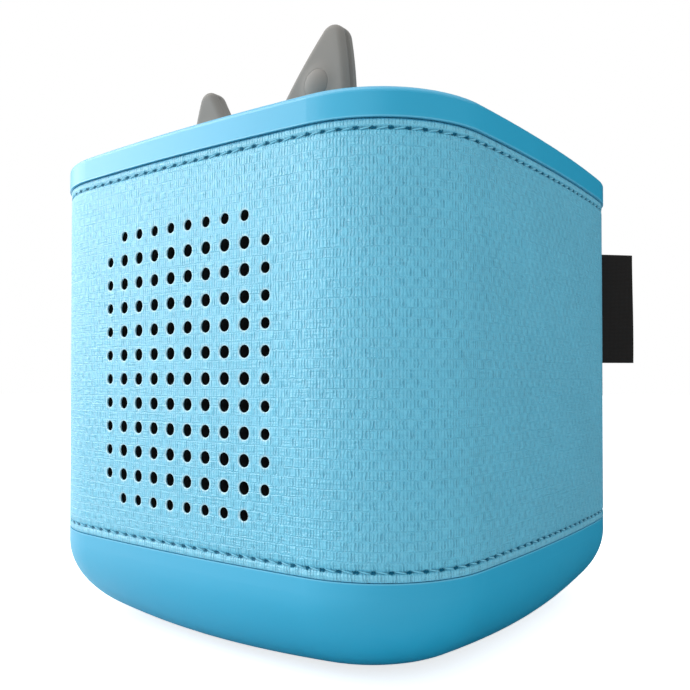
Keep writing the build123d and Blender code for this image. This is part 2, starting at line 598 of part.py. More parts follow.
with BuildPart() as cap_screws:
    screws(Plane.XY.offset(GUSSET_TOP - GUSSET_THICKNESS), cap_posts, -1,
           GUSSET_THICKNESS + SKIRT_DEPTH - SCREW_TIP_GAP)
save(cap_screws, "cap_screws")

with BuildPart() as top_pad:
    with BuildSketch(Plane.XY.offset(CAP_TOP - PAD_RECESS)):
        with Locations((0, pad_middle)):
            RectangleRounded(PAD_WIDTH, PAD_LENGTH, PAD_CORNER)
    extrude(amount=PAD_THICKNESS)
    pad_top = CAP_TOP - PAD_RECESS + PAD_THICKNESS
    discs(Plane.XY.offset(pad_top), [(0, SPOT_Y)], SPOT_RADIUS, -SPOT_DEPTH, Mode.SUBTRACT)
    discs(Plane.XY.offset(pad_top), [(0, LIGHT_Y)], LIGHT_RADIUS + LAYER_GAP, -PAD_THICKNESS, Mode.SUBTRACT)
save(top_pad, "top_pad")

with BuildPart() as figure_magnets:
    discs(Plane.XY.offset(CAP_UNDERSIDE), magnet_points, MAGNET_RADIUS, -MAGNET_THICKNESS)
save(figure_magnets, "figure_magnets")

with BuildPart() as reader_board:
    block(Plane.XY.offset(reader_bottom), (0, SPOT_Y), READER_WIDTH, READER_LENGTH, BOARD_THICKNESS)
    discs(Plane.XY.offset(reader_bottom), reader_posts, PILOT_RADIUS, BOARD_THICKNESS, Mode.SUBTRACT)
save(reader_board, "reader_board")

with BuildPart() as reader_coil:
    for turn in range(READER_COIL_TURNS):
        with BuildSketch(Plane.XY.offset(reader_top)):
            with Locations((0, SPOT_Y)):
                Circle(READER_COIL_RADIUS - turn * READER_COIL_PITCH)
                Circle(READER_COIL_RADIUS - turn * READER_COIL_PITCH - READER_COIL_WIDTH, mode=Mode.SUBTRACT)
        extrude(amount=COIL_THICKNESS)
save(reader_coil, "reader_coil")

with BuildPart() as status_led:
    block(Plane.XY.offset(reader_top), (0, LIGHT_Y), LED_SIZE, LED_SIZE, LED_HEIGHT)
save(status_led, "status_led")

with BuildPart() as light_pipe:
    discs(Plane.XY.offset(reader_top + LED_HEIGHT + LAYER_GAP), [(0, LIGHT_Y)], LIGHT_RADIUS,
          pad_top - reader_top - LED_HEIGHT - LAYER_GAP)
save(light_pipe, "light_pipe")

# ------------------------------------------------------------------ ears
core_inset = EAR_SKIN + LAYER_GAP
button_back = EAR_SKIN + LAYER_GAP + BUTTON_FLANGE_THICKNESS
switch_front = button_back + BUTTON_TRAVEL + SWITCH_GAP
ear_board_front = switch_front + SWITCH_THICKNESS
ear_board_middle_y = EAR_FRONT_Y + ear_board_front + EAR_BOARD_THICKNESS / 2
ear_root = CAP_TOP - EAR_FRAME_TOP


def ear_plane(ear, depth=0.0):
    """The front view of one ear, a depth behind its front face, with x towards its outer edge."""
    return Plane(origin=(0, EAR_FRONT_Y + depth, CAP_TOP), x_dir=(ear.side, 0, 0), z_dir=(0, -ear.side, 0))


def ear_outline(ear, root):
    """Draw an ear in the open sketch, down to a root below the top of the cap."""
    tip_centre = (ear.tip_x, ear.height - ear.tip_radius)
    inner_way = radians(270 - EAR_INNER_LEAN)
    outer_way = radians(EAR_OUTER_LEAN - 90)
    with BuildLine() as edge:
        tip = CenterArc(tip_centre, ear.tip_radius, EAR_OUTER_LEAN, 180 - EAR_INNER_LEAN - EAR_OUTER_LEAN)
        TangentArc(tip @ 0, (ear.outer, 0), tangent=(cos(outer_way), sin(outer_way)))
        TangentArc(tip @ 1, (ear.inner, 0), tangent=(cos(inner_way), sin(inner_way)))
        Polyline((ear.outer, 0), (ear.outer, -root), (ear.inner, -root), (ear.inner, 0))
    make_face(edge.line)


with BuildPart() as ear_frame:
    with BuildSketch(Plane.XY.offset(ear_frame_bottom)):
        with Locations((0, EAR_Y)):
            RectangleRounded(2 * EAR_FRAME_X + 2 * POST_RADIUS, EAR_FRAME_WIDTH, POST_RADIUS)
        with Locations(*ear_frame_points):
            Circle(PILOT_RADIUS, mode=Mode.SUBTRACT)
        for ear in EARS:
            with Locations((ear.side * ear.button_x, ear_board_middle_y)):
                Rectangle(EAR_BOARD_WIDTH + 2 * FIT_GAP, EAR_BOARD_THICKNESS + 2 * FIT_GAP,
                          mode=Mode.SUBTRACT)
    extrude(amount=EAR_FRAME_THICKNESS)
save(ear_frame, "ear_frame")

with BuildPart() as ear_frame_screws:
    screws(Plane.XY.offset(ear_frame_bottom), ear_frame_points, -1, EAR_SCREW_LENGTH)
save(ear_frame_screws, "ear_frame_screws")

for ear in EARS:
    button = (ear.button_x, ear.button_height)
    with BuildPart() as ear_skin:
        with BuildSketch(ear_plane(ear, EAR_THICKNESS / 2)):
            ear_outline(ear, ear_root)
        extrude(amount=EAR_THICKNESS / 2, both=True)
        rim = ear_skin.faces().filter_by(Axis.Y).edges()
        fillet(rim.filter_by_position(Axis.Z, EAR_FRAME_TOP + LAYER_GAP, 2 * CAP_TOP), EAR_EDGE_RADIUS)
        with BuildSketch(Plane.XY.offset(CAP_UNDERSIDE)):
            with Locations(ear_middle(ear)):
                RectangleRounded(ear.outer - ear.inner + 2 * EAR_FLANGE, EAR_THICKNESS + 2 * EAR_FLANGE,
                                 EAR_FLANGE)
        extrude(amount=-EAR_FLANGE_THICKNESS)
        with BuildSketch(ear_plane(ear, EAR_THICKNESS / 2)):
            ear_outline(ear, 2 * ear_root)
            offset(amount=-EAR_SKIN)
        extrude(amount=EAR_THICKNESS / 2 - EAR_SKIN, both=True, mode=Mode.SUBTRACT)
        discs(ear_plane(ear), [button], BUTTON_RADIUS + LAYER_GAP, -ear.side * EAR_THICKNESS / 2,
              Mode.SUBTRACT)
    save(ear_skin, f"ear_{ear.name}_skin")

    with BuildPart() as ear_core:
        with BuildSketch(ear_plane(ear, EAR_THICKNESS / 2)):
            ear_outline(ear, ear_root + core_inset)
            offset(amount=-core_inset)
        extrude(amount=EAR_THICKNESS / 2 - core_inset, both=True)
        discs(ear_plane(ear), [button], BUTTON_FLANGE_RADIUS + FIT_GAP, -ear.side * switch_front,
              Mode.SUBTRACT)
        block(ear_plane(ear), button, SWITCH_SIZE + 2 * FIT_GAP, SWITCH_SIZE + 2 * FIT_GAP,
              -ear.side * EAR_THICKNESS, Mode.SUBTRACT)
        channel_top = ear.button_height + EAR_BOARD_WIDTH / 2 + FIT_GAP
        block(ear_plane(ear, EAR_THICKNESS), (ear.button_x, (channel_top - ear_root) / 2),
              EAR_BOARD_WIDTH + 2 * FIT_GAP, channel_top + ear_root,
              ear.side * (EAR_THICKNESS - ear_board_front + LAYER_GAP), Mode.SUBTRACT)
    save(ear_core, f"ear_{ear.name}_core")

    with BuildPart() as ear_board:
        board_top = ear.button_height + EAR_BOARD_WIDTH / 2
        board_bottom = -ear_root - EAR_FRAME_THICKNESS - EAR_BOARD_TAIL
        block(ear_plane(ear, ear_board_front), (ear.button_x, (board_top + board_bottom) / 2),
              EAR_BOARD_WIDTH, board_top - board_bottom, -ear.side * EAR_BOARD_THICKNESS)
    save(ear_board, f"ear_{ear.name}_board")

    with BuildPart() as ear_switch:
        block(ear_plane(ear, switch_front), button, SWITCH_SIZE, SWITCH_SIZE, -ear.side * SWITCH_THICKNESS)
        discs(ear_plane(ear, switch_front), [button], PLUNGER_RADIUS + LAYER_GAP,
              -ear.side * (BUTTON_TRAVEL + SWITCH_GAP), Mode.SUBTRACT)
    save(ear_switch, f"ear_{ear.name}_switch")

    with BuildPart() as ear_button:
        button_x = ear.side * ear.button_x
        button_z = CAP_TOP + ear.button_height
        with BuildSketch(Plane(origin=(button_x, EAR_FRONT_Y, button_z), x_dir=(1, 0, 0), z_dir=(0, 0, -1))):
            with BuildLine():
                TangentArc((0, BUTTON_DOME), (BUTTON_RADIUS, 0), tangent=(1, 0))
                Polyline((BUTTON_RADIUS, 0), (BUTTON_RADIUS, -core_inset),
                         (BUTTON_FLANGE_RADIUS, -core_inset), (BUTTON_FLANGE_RADIUS, -button_back),
                         (0, -button_back), (0, BUTTON_DOME))
            make_face()
        revolve(axis=Axis((button_x, EAR_FRONT_Y, button_z), (0, -1, 0)))
    save(ear_button, f"ear_{ear.name}_button")

    with BuildPart() as ear_plunger:
        discs(ear_plane(ear, button_back), [button], PLUNGER_RADIUS, -ear.side * PLUNGER_LENGTH)
    save(ear_plunger, f"ear_{ear.name}_plunger")

# ------------------------------------------------------------------ loudspeaker
speaker_axis = Axis((0, 0, SPEAKER_Z), (0, 1, 0))
speaker_section = Plane(origin=(0, -SPEAKER_FACE, SPEAKER_Z), x_dir=(0, 1, 0), z_dir=(1, 0, 0))
flange_front = GASKET_THICKNESS
flange_back = flange_front + BASKET_THICKNESS
cone_front = flange_front + CONE_TRAVEL + FIT_GAP
cone_back = cone_front + CONE_DEPTH
plate_front = cone_back + PLATE_SETBACK
magnet_front = plate_front + STEEL_PLATE
magnet_back = magnet_front + MAGNET_RING_THICKNESS
yoke_back = magnet_back + STEEL_PLATE
coil_outer = COIL_RADIUS + COIL_WALL / 2
coil_inner = COIL_RADIUS - COIL_WALL / 2


def turned(*profile):
    """Add a ring about the speaker's axis, from a profile of depths and radii."""
    with BuildSketch(speaker_section) as section:
        with BuildLine():
            Polyline(*profile, close=True)
        make_face()
    revolve(section.sketch, axis=speaker_axis)


with BuildPart() as speaker_gasket:
    turned((0, SPEAKER_OPENING_RADIUS), (flange_front, SPEAKER_OPENING_RADIUS),
           (flange_front, GASKET_RADIUS), (0, GASKET_RADIUS))
save(speaker_gasket, "speaker_gasket")

basket_mouth = CONE_RADIUS + SURROUND_WIDTH
rim_back = cone_front + 2 * CONE_THICKNESS
with BuildPart() as speaker_basket:
    turned((flange_front, basket_mouth), (flange_front, SPEAKER_FLANGE_RADIUS),
           (flange_back, SPEAKER_FLANGE_RADIUS), (flange_back, basket_mouth + BASKET_THICKNESS),
           (rim_back, basket_mouth + BASKET_THICKNESS), (plate_front, MAGNET_RING_RADIUS),
           (plate_front, MAGNET_RING_RADIUS - BASKET_THICKNESS), (rim_back, basket_mouth))
    discs(Plane.XZ.offset(SPEAKER_FACE), speaker_screw_points, PILOT_RADIUS, -flange_back - CUT_SPARE,
          Mode.SUBTRACT)
    for turn in (0, 90):
        across = (cos(radians(turn)), 0, sin(radians(turn)))
        with BuildSketch(Plane(origin=(0, 0, SPEAKER_Z), x_dir=(0, 1, 0), z_dir=across)):
            with Locations((cone_back - SPEAKER_FACE - BASKET_WINDOW_SETBACK, 0)):
                RectangleRounded(CONE_DEPTH, CONE_RADIUS, BASKET_WINDOW_CORNER)
        extrude(amount=SPEAKER_FLANGE_RADIUS, both=True, mode=Mode.SUBTRACT)
save(speaker_basket, "speaker_basket")

with BuildPart() as speaker_screws:
    screws(Plane.XZ.offset(SPEAKER_FACE - flange_back), speaker_screw_points, -1, SPEAKER_SCREW_LENGTH)
save(speaker_screws, "speaker_screws")

with BuildPart() as speaker_cone:
    turned((cone_front, CONE_RADIUS), (cone_front + CONE_THICKNESS, CONE_RADIUS),
           (cone_back, coil_outer + CONE_NECK), (cone_back, coil_outer),
           (cone_back - CONE_THICKNESS, coil_outer))
save(speaker_cone, "speaker_cone")

with BuildPart() as speaker_coil:
    turned((cone_back, coil_inner), (cone_back, coil_outer), (cone_back + COIL_LENGTH, coil_outer),
           (cone_back + COIL_LENGTH, coil_inner))
save(speaker_coil, "speaker_coil")

with BuildPart() as dust_cap:
    cap_seat = cone_back - CONE_THICKNESS
    crown = cap_seat - DUST_CAP_RISE
    with BuildSketch(speaker_section):
        with BuildLine():
            TangentArc((crown, 0), (cap_seat, coil_outer), tangent=(0, 1))
            Line((cap_seat, coil_outer), (cap_seat, coil_outer - CONE_THICKNESS))
            TangentArc((crown + CONE_THICKNESS, 0), (cap_seat, coil_outer - CONE_THICKNESS), tangent=(0, 1))
            Line((crown + CONE_THICKNESS, 0), (crown, 0))
        make_face()
    revolve(axis=speaker_axis)
save(dust_cap, "dust_cap")

roll_inner = CONE_RADIUS + LAYER_GAP
roll_middle = (roll_inner + basket_mouth) / 2
roll_radius = (basket_mouth - roll_inner) / 2
with BuildPart() as speaker_surround:
    with BuildSketch(speaker_section):
        with Locations((cone_front + CONE_THICKNESS / 2, roll_middle)):
            Circle(roll_radius)
            Circle(roll_radius - CONE_THICKNESS, mode=Mode.SUBTRACT)
            Rectangle(roll_radius * 2, roll_radius * 3, align=(Align.MIN, Align.CENTER), mode=Mode.SUBTRACT)
    revolve(axis=speaker_axis)
save(speaker_surround, "speaker_surround")

spider_front = cone_back + SPIDER_SETBACK
with BuildPart() as speaker_spider:
    turned((spider_front, coil_outer + LAYER_GAP), (spider_front, MAGNET_RING_RADIUS - BASKET_THICKNESS),
           (spider_front + CONE_THICKNESS, MAGNET_RING_RADIUS - BASKET_THICKNESS),
           (spider_front + CONE_THICKNESS, coil_outer + LAYER_GAP))
save(speaker_spider, "speaker_spider")

plate_bore = coil_outer + COIL_AIR_GAP
with BuildPart() as speaker_top_plate:
    turned((plate_front, plate_bore), (plate_front, MAGNET_RING_RADIUS), (magnet_front, MAGNET_RING_RADIUS),
           (magnet_front, plate_bore))
save(speaker_top_plate, "speaker_top_plate")

with BuildPart() as speaker_magnet:
    turned((magnet_front, plate_bore), (magnet_front, MAGNET_RING_RADIUS), (magnet_back, MAGNET_RING_RADIUS),
           (magnet_back, plate_bore))
save(speaker_magnet, "speaker_magnet")

with BuildPart() as speaker_yoke:
    turned((plate_front, 0), (plate_front, POLE_RADIUS), (magnet_back, POLE_RADIUS),
           (magnet_back, MAGNET_RING_RADIUS), (yoke_back, MAGNET_RING_RADIUS), (yoke_back, 0))
save(speaker_yoke, "speaker_yoke")

# ------------------------------------------------------------------ battery
cell_z = chassis_floor_top + TRAY_WALL + CELL_RADIUS
cell_rows = [(BATTERY_Y - CELL_SPACING / 2, cell_z), (BATTERY_Y + CELL_SPACING / 2, cell_z)]
strap_top = cell_z + CELL_RADIUS + LAYER_GAP
strap_half = tray_width / 2 + FIT_GAP

with BuildPart() as battery_tray:
    block(Plane.XY.offset(chassis_floor_top), (0, BATTERY_Y), tray_length, tray_width, TRAY_HEIGHT)
    block(Plane.XY.offset(chassis_floor_top + TRAY_WALL), (0, BATTERY_Y), tray_length - 2 * TRAY_WALL,
          tray_width - 2 * TRAY_WALL, TRAY_HEIGHT, Mode.SUBTRACT)
save(battery_tray, "battery_tray")

with BuildPart() as battery_cells:
    discs(Plane.YZ.offset(-CELL_LENGTH / 2), cell_rows, CELL_RADIUS, CELL_LENGTH)
save(battery_cells, "battery_cells")

with BuildPart() as battery_strap:
    outer_half = strap_half + STRAP_THICKNESS
    foot_half = outer_half + STRAP_FOOT
    with BuildSketch(Plane.YZ):
        with BuildLine():
            Polyline((BATTERY_Y - foot_half, chassis_floor_top),
                     (BATTERY_Y - strap_half, chassis_floor_top),
                     (BATTERY_Y - strap_half, strap_top),
                     (BATTERY_Y + strap_half, strap_top),
                     (BATTERY_Y + strap_half, chassis_floor_top),
                     (BATTERY_Y + foot_half, chassis_floor_top),
                     (BATTERY_Y + foot_half, chassis_floor_top + STRAP_THICKNESS),
                     (BATTERY_Y + outer_half, chassis_floor_top + STRAP_THICKNESS),
                     (BATTERY_Y + outer_half, strap_top + STRAP_THICKNESS),
                     (BATTERY_Y - outer_half, strap_top + STRAP_THICKNESS),
                     (BATTERY_Y - outer_half, chassis_floor_top + STRAP_THICKNESS),
                     (BATTERY_Y - foot_half, chassis_floor_top + STRAP_THICKNESS), close=True)
        make_face()
    extrude(amount=STRAP_WIDTH / 2, both=True)
    discs(Plane.XY.offset(chassis_floor_top), strap_screw_points, PILOT_RADIUS, STRAP_THICKNESS,
          Mode.SUBTRACT)
save(battery_strap, "battery_strap")

with BuildPart() as strap_screws:
    screws(Plane.XY.offset(chassis_floor_top + STRAP_THICKNESS), strap_screw_points, 1,
           STRAP_THICKNESS + CHASSIS_FLOOR - LAYER_GAP)
save(strap_screws, "strap_screws")

# ------------------------------------------------------------------ main board
board_face = Plane.XZ.offset(-MAIN_BOARD_Y)

with BuildPart() as main_board:
    block(board_face, (0, main_board_middle), MAIN_BOARD_WIDTH, MAIN_BOARD_HEIGHT, -BOARD_THICKNESS)
    discs(board_face, main_board_posts, PILOT_RADIUS, -BOARD_THICKNESS, Mode.SUBTRACT)
save(main_board, "main_board")

with BuildPart() as board_screws:
    screws(Plane.XY.offset(charge_board_bottom + BOARD_THICKNESS), charge_posts, 1, BOARD_SCREW_LENGTH)
    screws(Plane.XY.offset(socket_board_top), socket_posts, 1, BOARD_SCREW_LENGTH)
    screws(Plane.XY.offset(reader_bottom), reader_posts, -1, BOARD_SCREW_LENGTH)
    screws(board_face, main_board_posts, 1, BOARD_SCREW_LENGTH)
save(board_screws, "board_screws")

# Each part on the board: its name, x, distance below the upper headers, width, height and thickness
BOARD_PARTS = (
    ("radio_shield", -14.0, 8.0, 20.0, 16.0, 2.4),
    ("processor_chip", 8.0, 8.0, 10.0, 10.0, 1.0),
    ("memory_chip", 8.0, 22.0, 11.5, 13.0, 1.0),
    ("amplifier_chip", -12.0, 26.0, 5.0, 5.0, 0.9),
)
parts_top = MAIN_BOARD_BOTTOM + MAIN_BOARD_HEIGHT - HIGH_HEADER_MARGIN - HEADER_LENGTH
for label, x, drop, width, height, thickness in BOARD_PARTS:
    with BuildPart() as board_part:
        block(board_face, (x, parts_top - drop), width, height, thickness)
    save(board_part, label)

# ------------------------------------------------------------------ leads and their headers
header_face = MAIN_BOARD_Y - HEADER_DEPTH
header_middle = MAIN_BOARD_Y - HEADER_DEPTH / 2
low_header_z = MAIN_BOARD_BOTTOM + LOW_HEADER_MARGIN + HEADER_LENGTH / 2
high_header_z = MAIN_BOARD_BOTTOM + MAIN_BOARD_HEIGHT - HIGH_HEADER_MARGIN - HEADER_LENGTH / 2
low_headers = [(x, low_header_z)
               for x in (SPEAKER_HEADER_X, SOCKET_HEADER_X, BASE_HEADER_X, BATTERY_HEADER_X)]
high_headers = [(-EAR_HEADER_X, high_header_z), (EAR_HEADER_X, high_header_z)]


def lead(*points):
    """Add a round lead along straight runs joined by the widest arcs that they allow."""
    stops = [Vector(point) for point in points]
    radii = []
    for before, here, after in zip(stops, stops[1:], stops[2:]):
        turn = radians((here - before).get_angle(after - here))
        radii.append(LEAD_BEND_SHARE * min((here - before).length, (after - here).length) / tan(turn / 2))
    with BuildLine() as route:
        FilletPolyline(*stops, radius=radii)
    with BuildSketch(Plane(origin=stops[0], z_dir=stops[1] - stops[0])) as section:
        Circle(LEAD_RADIUS)
    sweep(section.sketch, path=route.line)


with BuildPart() as board_headers:
    with BuildSketch(board_face):
        with Locations(*low_headers, *high_headers):
            Rectangle(HEADER_WIDTH, HEADER_LENGTH)
    extrude(amount=HEADER_DEPTH)
save(board_headers, "board_headers")

with BuildPart() as speaker_lead:
    lead((-24, flange_back - SPEAKER_FACE, 49.6), (-24, -36, 49.6), (-25, -14, 50.5), (-25, 8, 51),
         (SPEAKER_HEADER_X, 26, low_header_z), (SPEAKER_HEADER_X, header_face, low_header_z))
save(speaker_lead, "speaker_lead")

with BuildPart() as battery_lead:
    lead((24, cell_rows[1][0], cell_z + CELL_RADIUS), (24, cell_rows[1][0], 45),
         (23, 16, low_header_z - 0.5), (BATTERY_HEADER_X, 29, low_header_z),
         (BATTERY_HEADER_X, header_face, low_header_z))
save(battery_lead, "battery_lead")

with BuildPart() as base_leads:
    header_foot = low_header_z - HEADER_LENGTH / 2
    socket_lead_x = SOCKET_X - 6
    socket_lead_y = SOCKET_BOARD_BACK - 6
    lead((4, 6, charge_board_bottom + BOARD_THICKNESS), (4, 6, 11), (3, 17, 13.5),
         (1, cable_hole_y - 2, 15.5), (BASE_HEADER_X, cable_hole_y + 1, 26),
         (BASE_HEADER_X, header_middle - 6, 34), (BASE_HEADER_X, header_middle, 40),
         (BASE_HEADER_X, header_middle, header_foot))
    lead((socket_lead_x, socket_lead_y, socket_board_top), (socket_lead_x, socket_lead_y, 13.5),
         (socket_lead_x - 5, socket_lead_y - 6, 15), (-2, cable_hole_y, 18), (-4, cable_hole_y + 1, 26),
         (-9, header_middle - 5, 34), (SOCKET_HEADER_X, header_middle, 40),
         (SOCKET_HEADER_X, header_middle, header_foot))
save(base_leads, "base_leads")

with BuildPart() as ear_leads:
    tail_end = CAP_TOP - ear_root - EAR_FRAME_THICKNESS - EAR_BOARD_TAIL
    header_top = high_header_z + HEADER_LENGTH / 2
    for ear in EARS:
        tail_x = ear.side * ear.button_x
        header = ear.side * EAR_HEADER_X
        lead((tail_x, ear_board_middle_y, tail_end), (tail_x, ear_board_middle_y, 99), (tail_x, -20, 94),
             (header + ear.side, 0, 93), (header + ear.side, 20, header_top + 3.5),
             (header, header_middle - 9.5, header_top + 6.5), (header, header_middle, header_top + 5.5),
             (header, header_middle, header_top))
save(ear_leads, "ear_leads")
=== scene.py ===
from functools import partial
from math import atan2, cos, floor, hypot, pi, radians, sin, sqrt

import bmesh
import bpy
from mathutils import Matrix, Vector


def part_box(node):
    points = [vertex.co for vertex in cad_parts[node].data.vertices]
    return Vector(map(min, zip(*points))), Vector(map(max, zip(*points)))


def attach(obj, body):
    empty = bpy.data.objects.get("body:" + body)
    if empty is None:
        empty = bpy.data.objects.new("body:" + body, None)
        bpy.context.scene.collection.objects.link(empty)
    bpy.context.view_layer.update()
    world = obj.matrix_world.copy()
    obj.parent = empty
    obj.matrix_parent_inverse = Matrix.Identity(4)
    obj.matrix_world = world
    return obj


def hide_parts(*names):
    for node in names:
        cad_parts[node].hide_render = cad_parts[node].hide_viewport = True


bl_info = {
    "name": "Story player",
    "version": (1, 0, 0),
    "blender": (4, 5, 0),
    "location": "3D View > Sidebar > Story player",
    "description": "Dresses a story player: its woven sleeve, stitches, ears, label, pad and finishes",
    "category": "Object",
}

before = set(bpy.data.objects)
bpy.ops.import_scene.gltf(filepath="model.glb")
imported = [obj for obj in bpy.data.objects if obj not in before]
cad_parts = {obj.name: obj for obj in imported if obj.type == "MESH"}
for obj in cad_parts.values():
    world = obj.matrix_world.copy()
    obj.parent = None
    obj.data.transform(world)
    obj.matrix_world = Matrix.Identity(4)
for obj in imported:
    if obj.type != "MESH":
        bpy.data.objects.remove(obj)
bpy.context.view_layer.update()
MM = 0.001

# Outline in plan: a square with bulged sides and round corners, in millimetres
HALF_WIDTH = 60.0
SIDE_RADIUS = 530.0
CORNER_RADIUS = 25.8
SEAM_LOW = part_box("bottom_shell")[1][2] / MM
SEAM_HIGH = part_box("fabric_sleeve")[1][2] / MM + 0.1
CAP_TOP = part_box("top_cap")[1][2] / MM
# Left open between the sleeve's ends and the plastic
EDGE_GAP = 0.01
# Millimetres in one unit of a cloth's UV map
CLOTH_UNIT = 100

# Perforation of the front
HOLE_PITCH = 5.461
HOLE_COLUMNS = 10
HOLE_ROWS = 12
HOLE_RADIUS = 1.2
EDGE_HOLE_RADIUS = 1.0
HOLE_FIELD_BOTTOM = 32.6
CELL_PARTS = 4
# Rings round a punched hole: how far outside it, how deep, and how much of the pale sealed rim shows
HOLE_RINGS = ((0.9, 0.0, 0.0), (0.42, -0.03, 0.2), (0.23, 0.03, 1.0), (0.13, 0.18, 0.15))

# Sleeve: its cloth, and the dip beside its upright seam
SLEEVE_THICKNESS = 0.7
TUCK_DEPTH, TUCK_WIDTH = 0.5, 0.9
# How far from the sleeve's end the stitches are, and how deep the cloth lies so far from that end: turned in,
# flat hem, groove, flat
STITCH_INSET = 1.95
HEM_DEPTHS = ((0.0, 0.5), (0.1, 0.2), (0.3, 0.04), (0.8, -0.04), (1.4, 0.0), (1.7, 0.14),
              (STITCH_INSET, 0.42), (2.25, 0.16), (2.7, 0.0), (200.0, 0.0))
# Columns of faces left and right of the perforation
LEFT_PARTS, RIGHT_PARTS = 174, 97
# Rows of faces: the hem's last from each end, the next from the lower end, those above the perforation, and
# what these leave free below the upper end
HEM_REACH, LOW_ROW, HIGH_ROWS, HIGH_FREE = 4.0, 5.4, (1.4, 2.8, 4.2, 5.6, 7.0), 4.2

# Stitches beside each end of the sleeve
STITCHES = 129
STITCH_GAP = 1.05
STITCH_LEAN = 0.34
STITCH_DEPTH, STITCH_ARCH = 0.24, 0.16
# A stitch is a sphere of so many rings and sides, flattened, and a little nearer to the middle
STITCH_RINGS, STITCH_SIDES, STITCH_FLAT, STITCH_UP = 7, 6, 0.8, 0.05

# Ears: front view sizes from the middle of the player, and from the top of the cap up
EAR_FRONT = -34.0
EAR_THICKNESS = 6.0
EAR_FACE_EDGE = 1.6
EAR_BACK_EDGE = 2.6
EAR_FOOT_EDGE = 1.0
EAR_FOOT_BLEND = 6.0
EAR_ROOT = 3.6
EAR_WALL = 1.2
# Parts of an ear's outline, and of its edges' quarter rounds
CROWN_PARTS, FLANK_PARTS, FOOT_PARTS, ROOT_PARTS = 24, 26, 20, 3
FACE_ROUND, BACK_ROUND = 6, 8
# Rings on the face, by their share of the way from the button, and on the back, of the way to it
FACE_SHARES = (0.0, 0.04, 0.1, 0.18, 0.3, 0.5, 0.75)
BACK_SHARES = (0.35, 0.7, 0.95)
# The face swells towards the button, this far from it
EAR_SWELL, EAR_SWELL_WIDTH = 0.38, 2.6
# The groove down an ear's steep sides: how deep it goes, at how far behind the face, and the sideways
# part of the normal at which it starts and is full
EAR_GROOVE_FROM, EAR_GROOVE_FULL = 0.85, 0.95
EAR_GROOVE = ((0.25, 1.75), (0.62, 1.95), (0.75, 2.3), (0.62, 2.65), (0.25, 2.9), (0.0, 3.1))
EARS = {
    "large": dict(side=1, outer=25.4, inner=-0.6, slot=(-0.6, 25.4), tip=(20.8, 22.4),
                  tip_radius=3.3, lean=(10, 135), button=(17.1, 12.5)),
    "small": dict(side=-1, outer=26.6, inner=6.4, slot=(6.0, 26.0), tip=(19.6, 16.3),
                  tip_radius=2.9, lean=(20, 152), button=(17.8, 6.5)),
}
BUTTON_RADIUS = 3.4
# The gap round a button, the lip of its hole, and the parts of its outline
BUTTON_GAP, BUTTON_LIP, BUTTON_PARTS = 0.02, 0.06, 48
# A button's dome: radius and depth behind the ear's face
DOME = ((0.3, -1.28), (1.2, -1.21), (2.1, -1.01), (2.8, -0.73), (3.2, -0.48), (3.36, -0.38),
        (BUTTON_RADIUS, -0.3), (BUTTON_RADIUS, 1.3), (4.0, 1.3), (4.0, 1.75), (0.3, 1.75))

# Label: what stands out, its whole length, its cloth, and half the gap in its fold
LABEL_FREE = 12.7
LABEL_LENGTH = 16.0
LABEL_THICKNESS = 0.34
LABEL_MARGIN = 0.18
LABEL_HALF_GAP = 0.27
# Parts along each half and round the fold, and rows; the free end sways in a wave from low to high
LABEL_PARTS, LABEL_FOLD_PARTS, LABEL_ROWS = 14, 8, 24
LABEL_SWAY, LABEL_WAVE, LABEL_PHASE = 0.25, 4.2, 0.6

# Pad on the cap
PAD_CORNER = 14.0
FIGURE_PLACE_Y = 14.0
FIGURE_PLACE_RADIUS = 22.0
LIGHT_HOLE_Y = -15.0
LIGHT_HOLE_RADIUS = 1.9
# The figure's place is a shallow dish with a rounded rim: how far outside it, and how deep
DISH = ((0.5 - FIGURE_PLACE_RADIUS, 0.5), (-10, 0.5), (-1.2, 0.5), (-0.7, 0.48), (-0.4, 0.4), (-0.2, 0.27),
        (0.0, 0.1), (0.15, 0.03), (0.4, 0.0))

# The pad's rounded edge: how far in, and how far below its top
PAD_EDGE = ((0.6, 0.0), (0.25, 0.06), (0.07, 0.22), (0.0, 0.5))
# Parts of its round corners and straight sides
PAD_CORNER_PARTS, PAD_SIDE_PARTS = 10, 14

FOOT_RADIUS, FOOT_ROUND = 6.0, 0.35

# Studio, in metres: the floor, just under the feet, glows for the camera and less for reflections, which
# see it go dark along a direction, between two distances
FLOOR_LEVEL = -0.00003
FLOOR_GLOW, FLOOR_GLOSSY_SHARE = 0.72, 0.12
DARK_WAY, DARK_FROM, DARK_TO = (0.8, 0.6, 0.0), -0.12, 0.03
# The key light and the white card behind it shine from the front left
STUDIO_MIDDLE = Vector((0, 0, 0.07))
KEY_WAY = Vector((-0.79, -0.43, 0.43)).normalized()
KEY_SIZE, KEY_DISTANCE = 0.9, 0.95
CARD_SIZE, CARD_DISTANCE = 1.05, 0.97
TOP_WAY = Vector((-0.3, -0.3, 1.0)).normalized()
TOP_SIZE, TOP_DISTANCE = 0.8, 1.0
# The black cards stand behind and on the right, between these corners, by (is right, is back)
BLACK_CORNERS = {(False, False): (0.045, -0.045), (True, False): (0.9, -1.2), (True, True): (2.0, 1.4),
                 (False, True): (-1.0, 1.4)}
BLACK_HEIGHT = 1.5
CAMERA_LENS, CAMERA_SHIFT = 39.824, 0.0334
CAMERA_PLACE = (0.12654, -0.16981, 0.05944)
CAMERA_TURN = (90.966, 0.0, 36.729)
WHITE, BLACK = (1.0, 1.0, 1.0, 1.0), (0.0, 0.0, 0.0, 1.0)


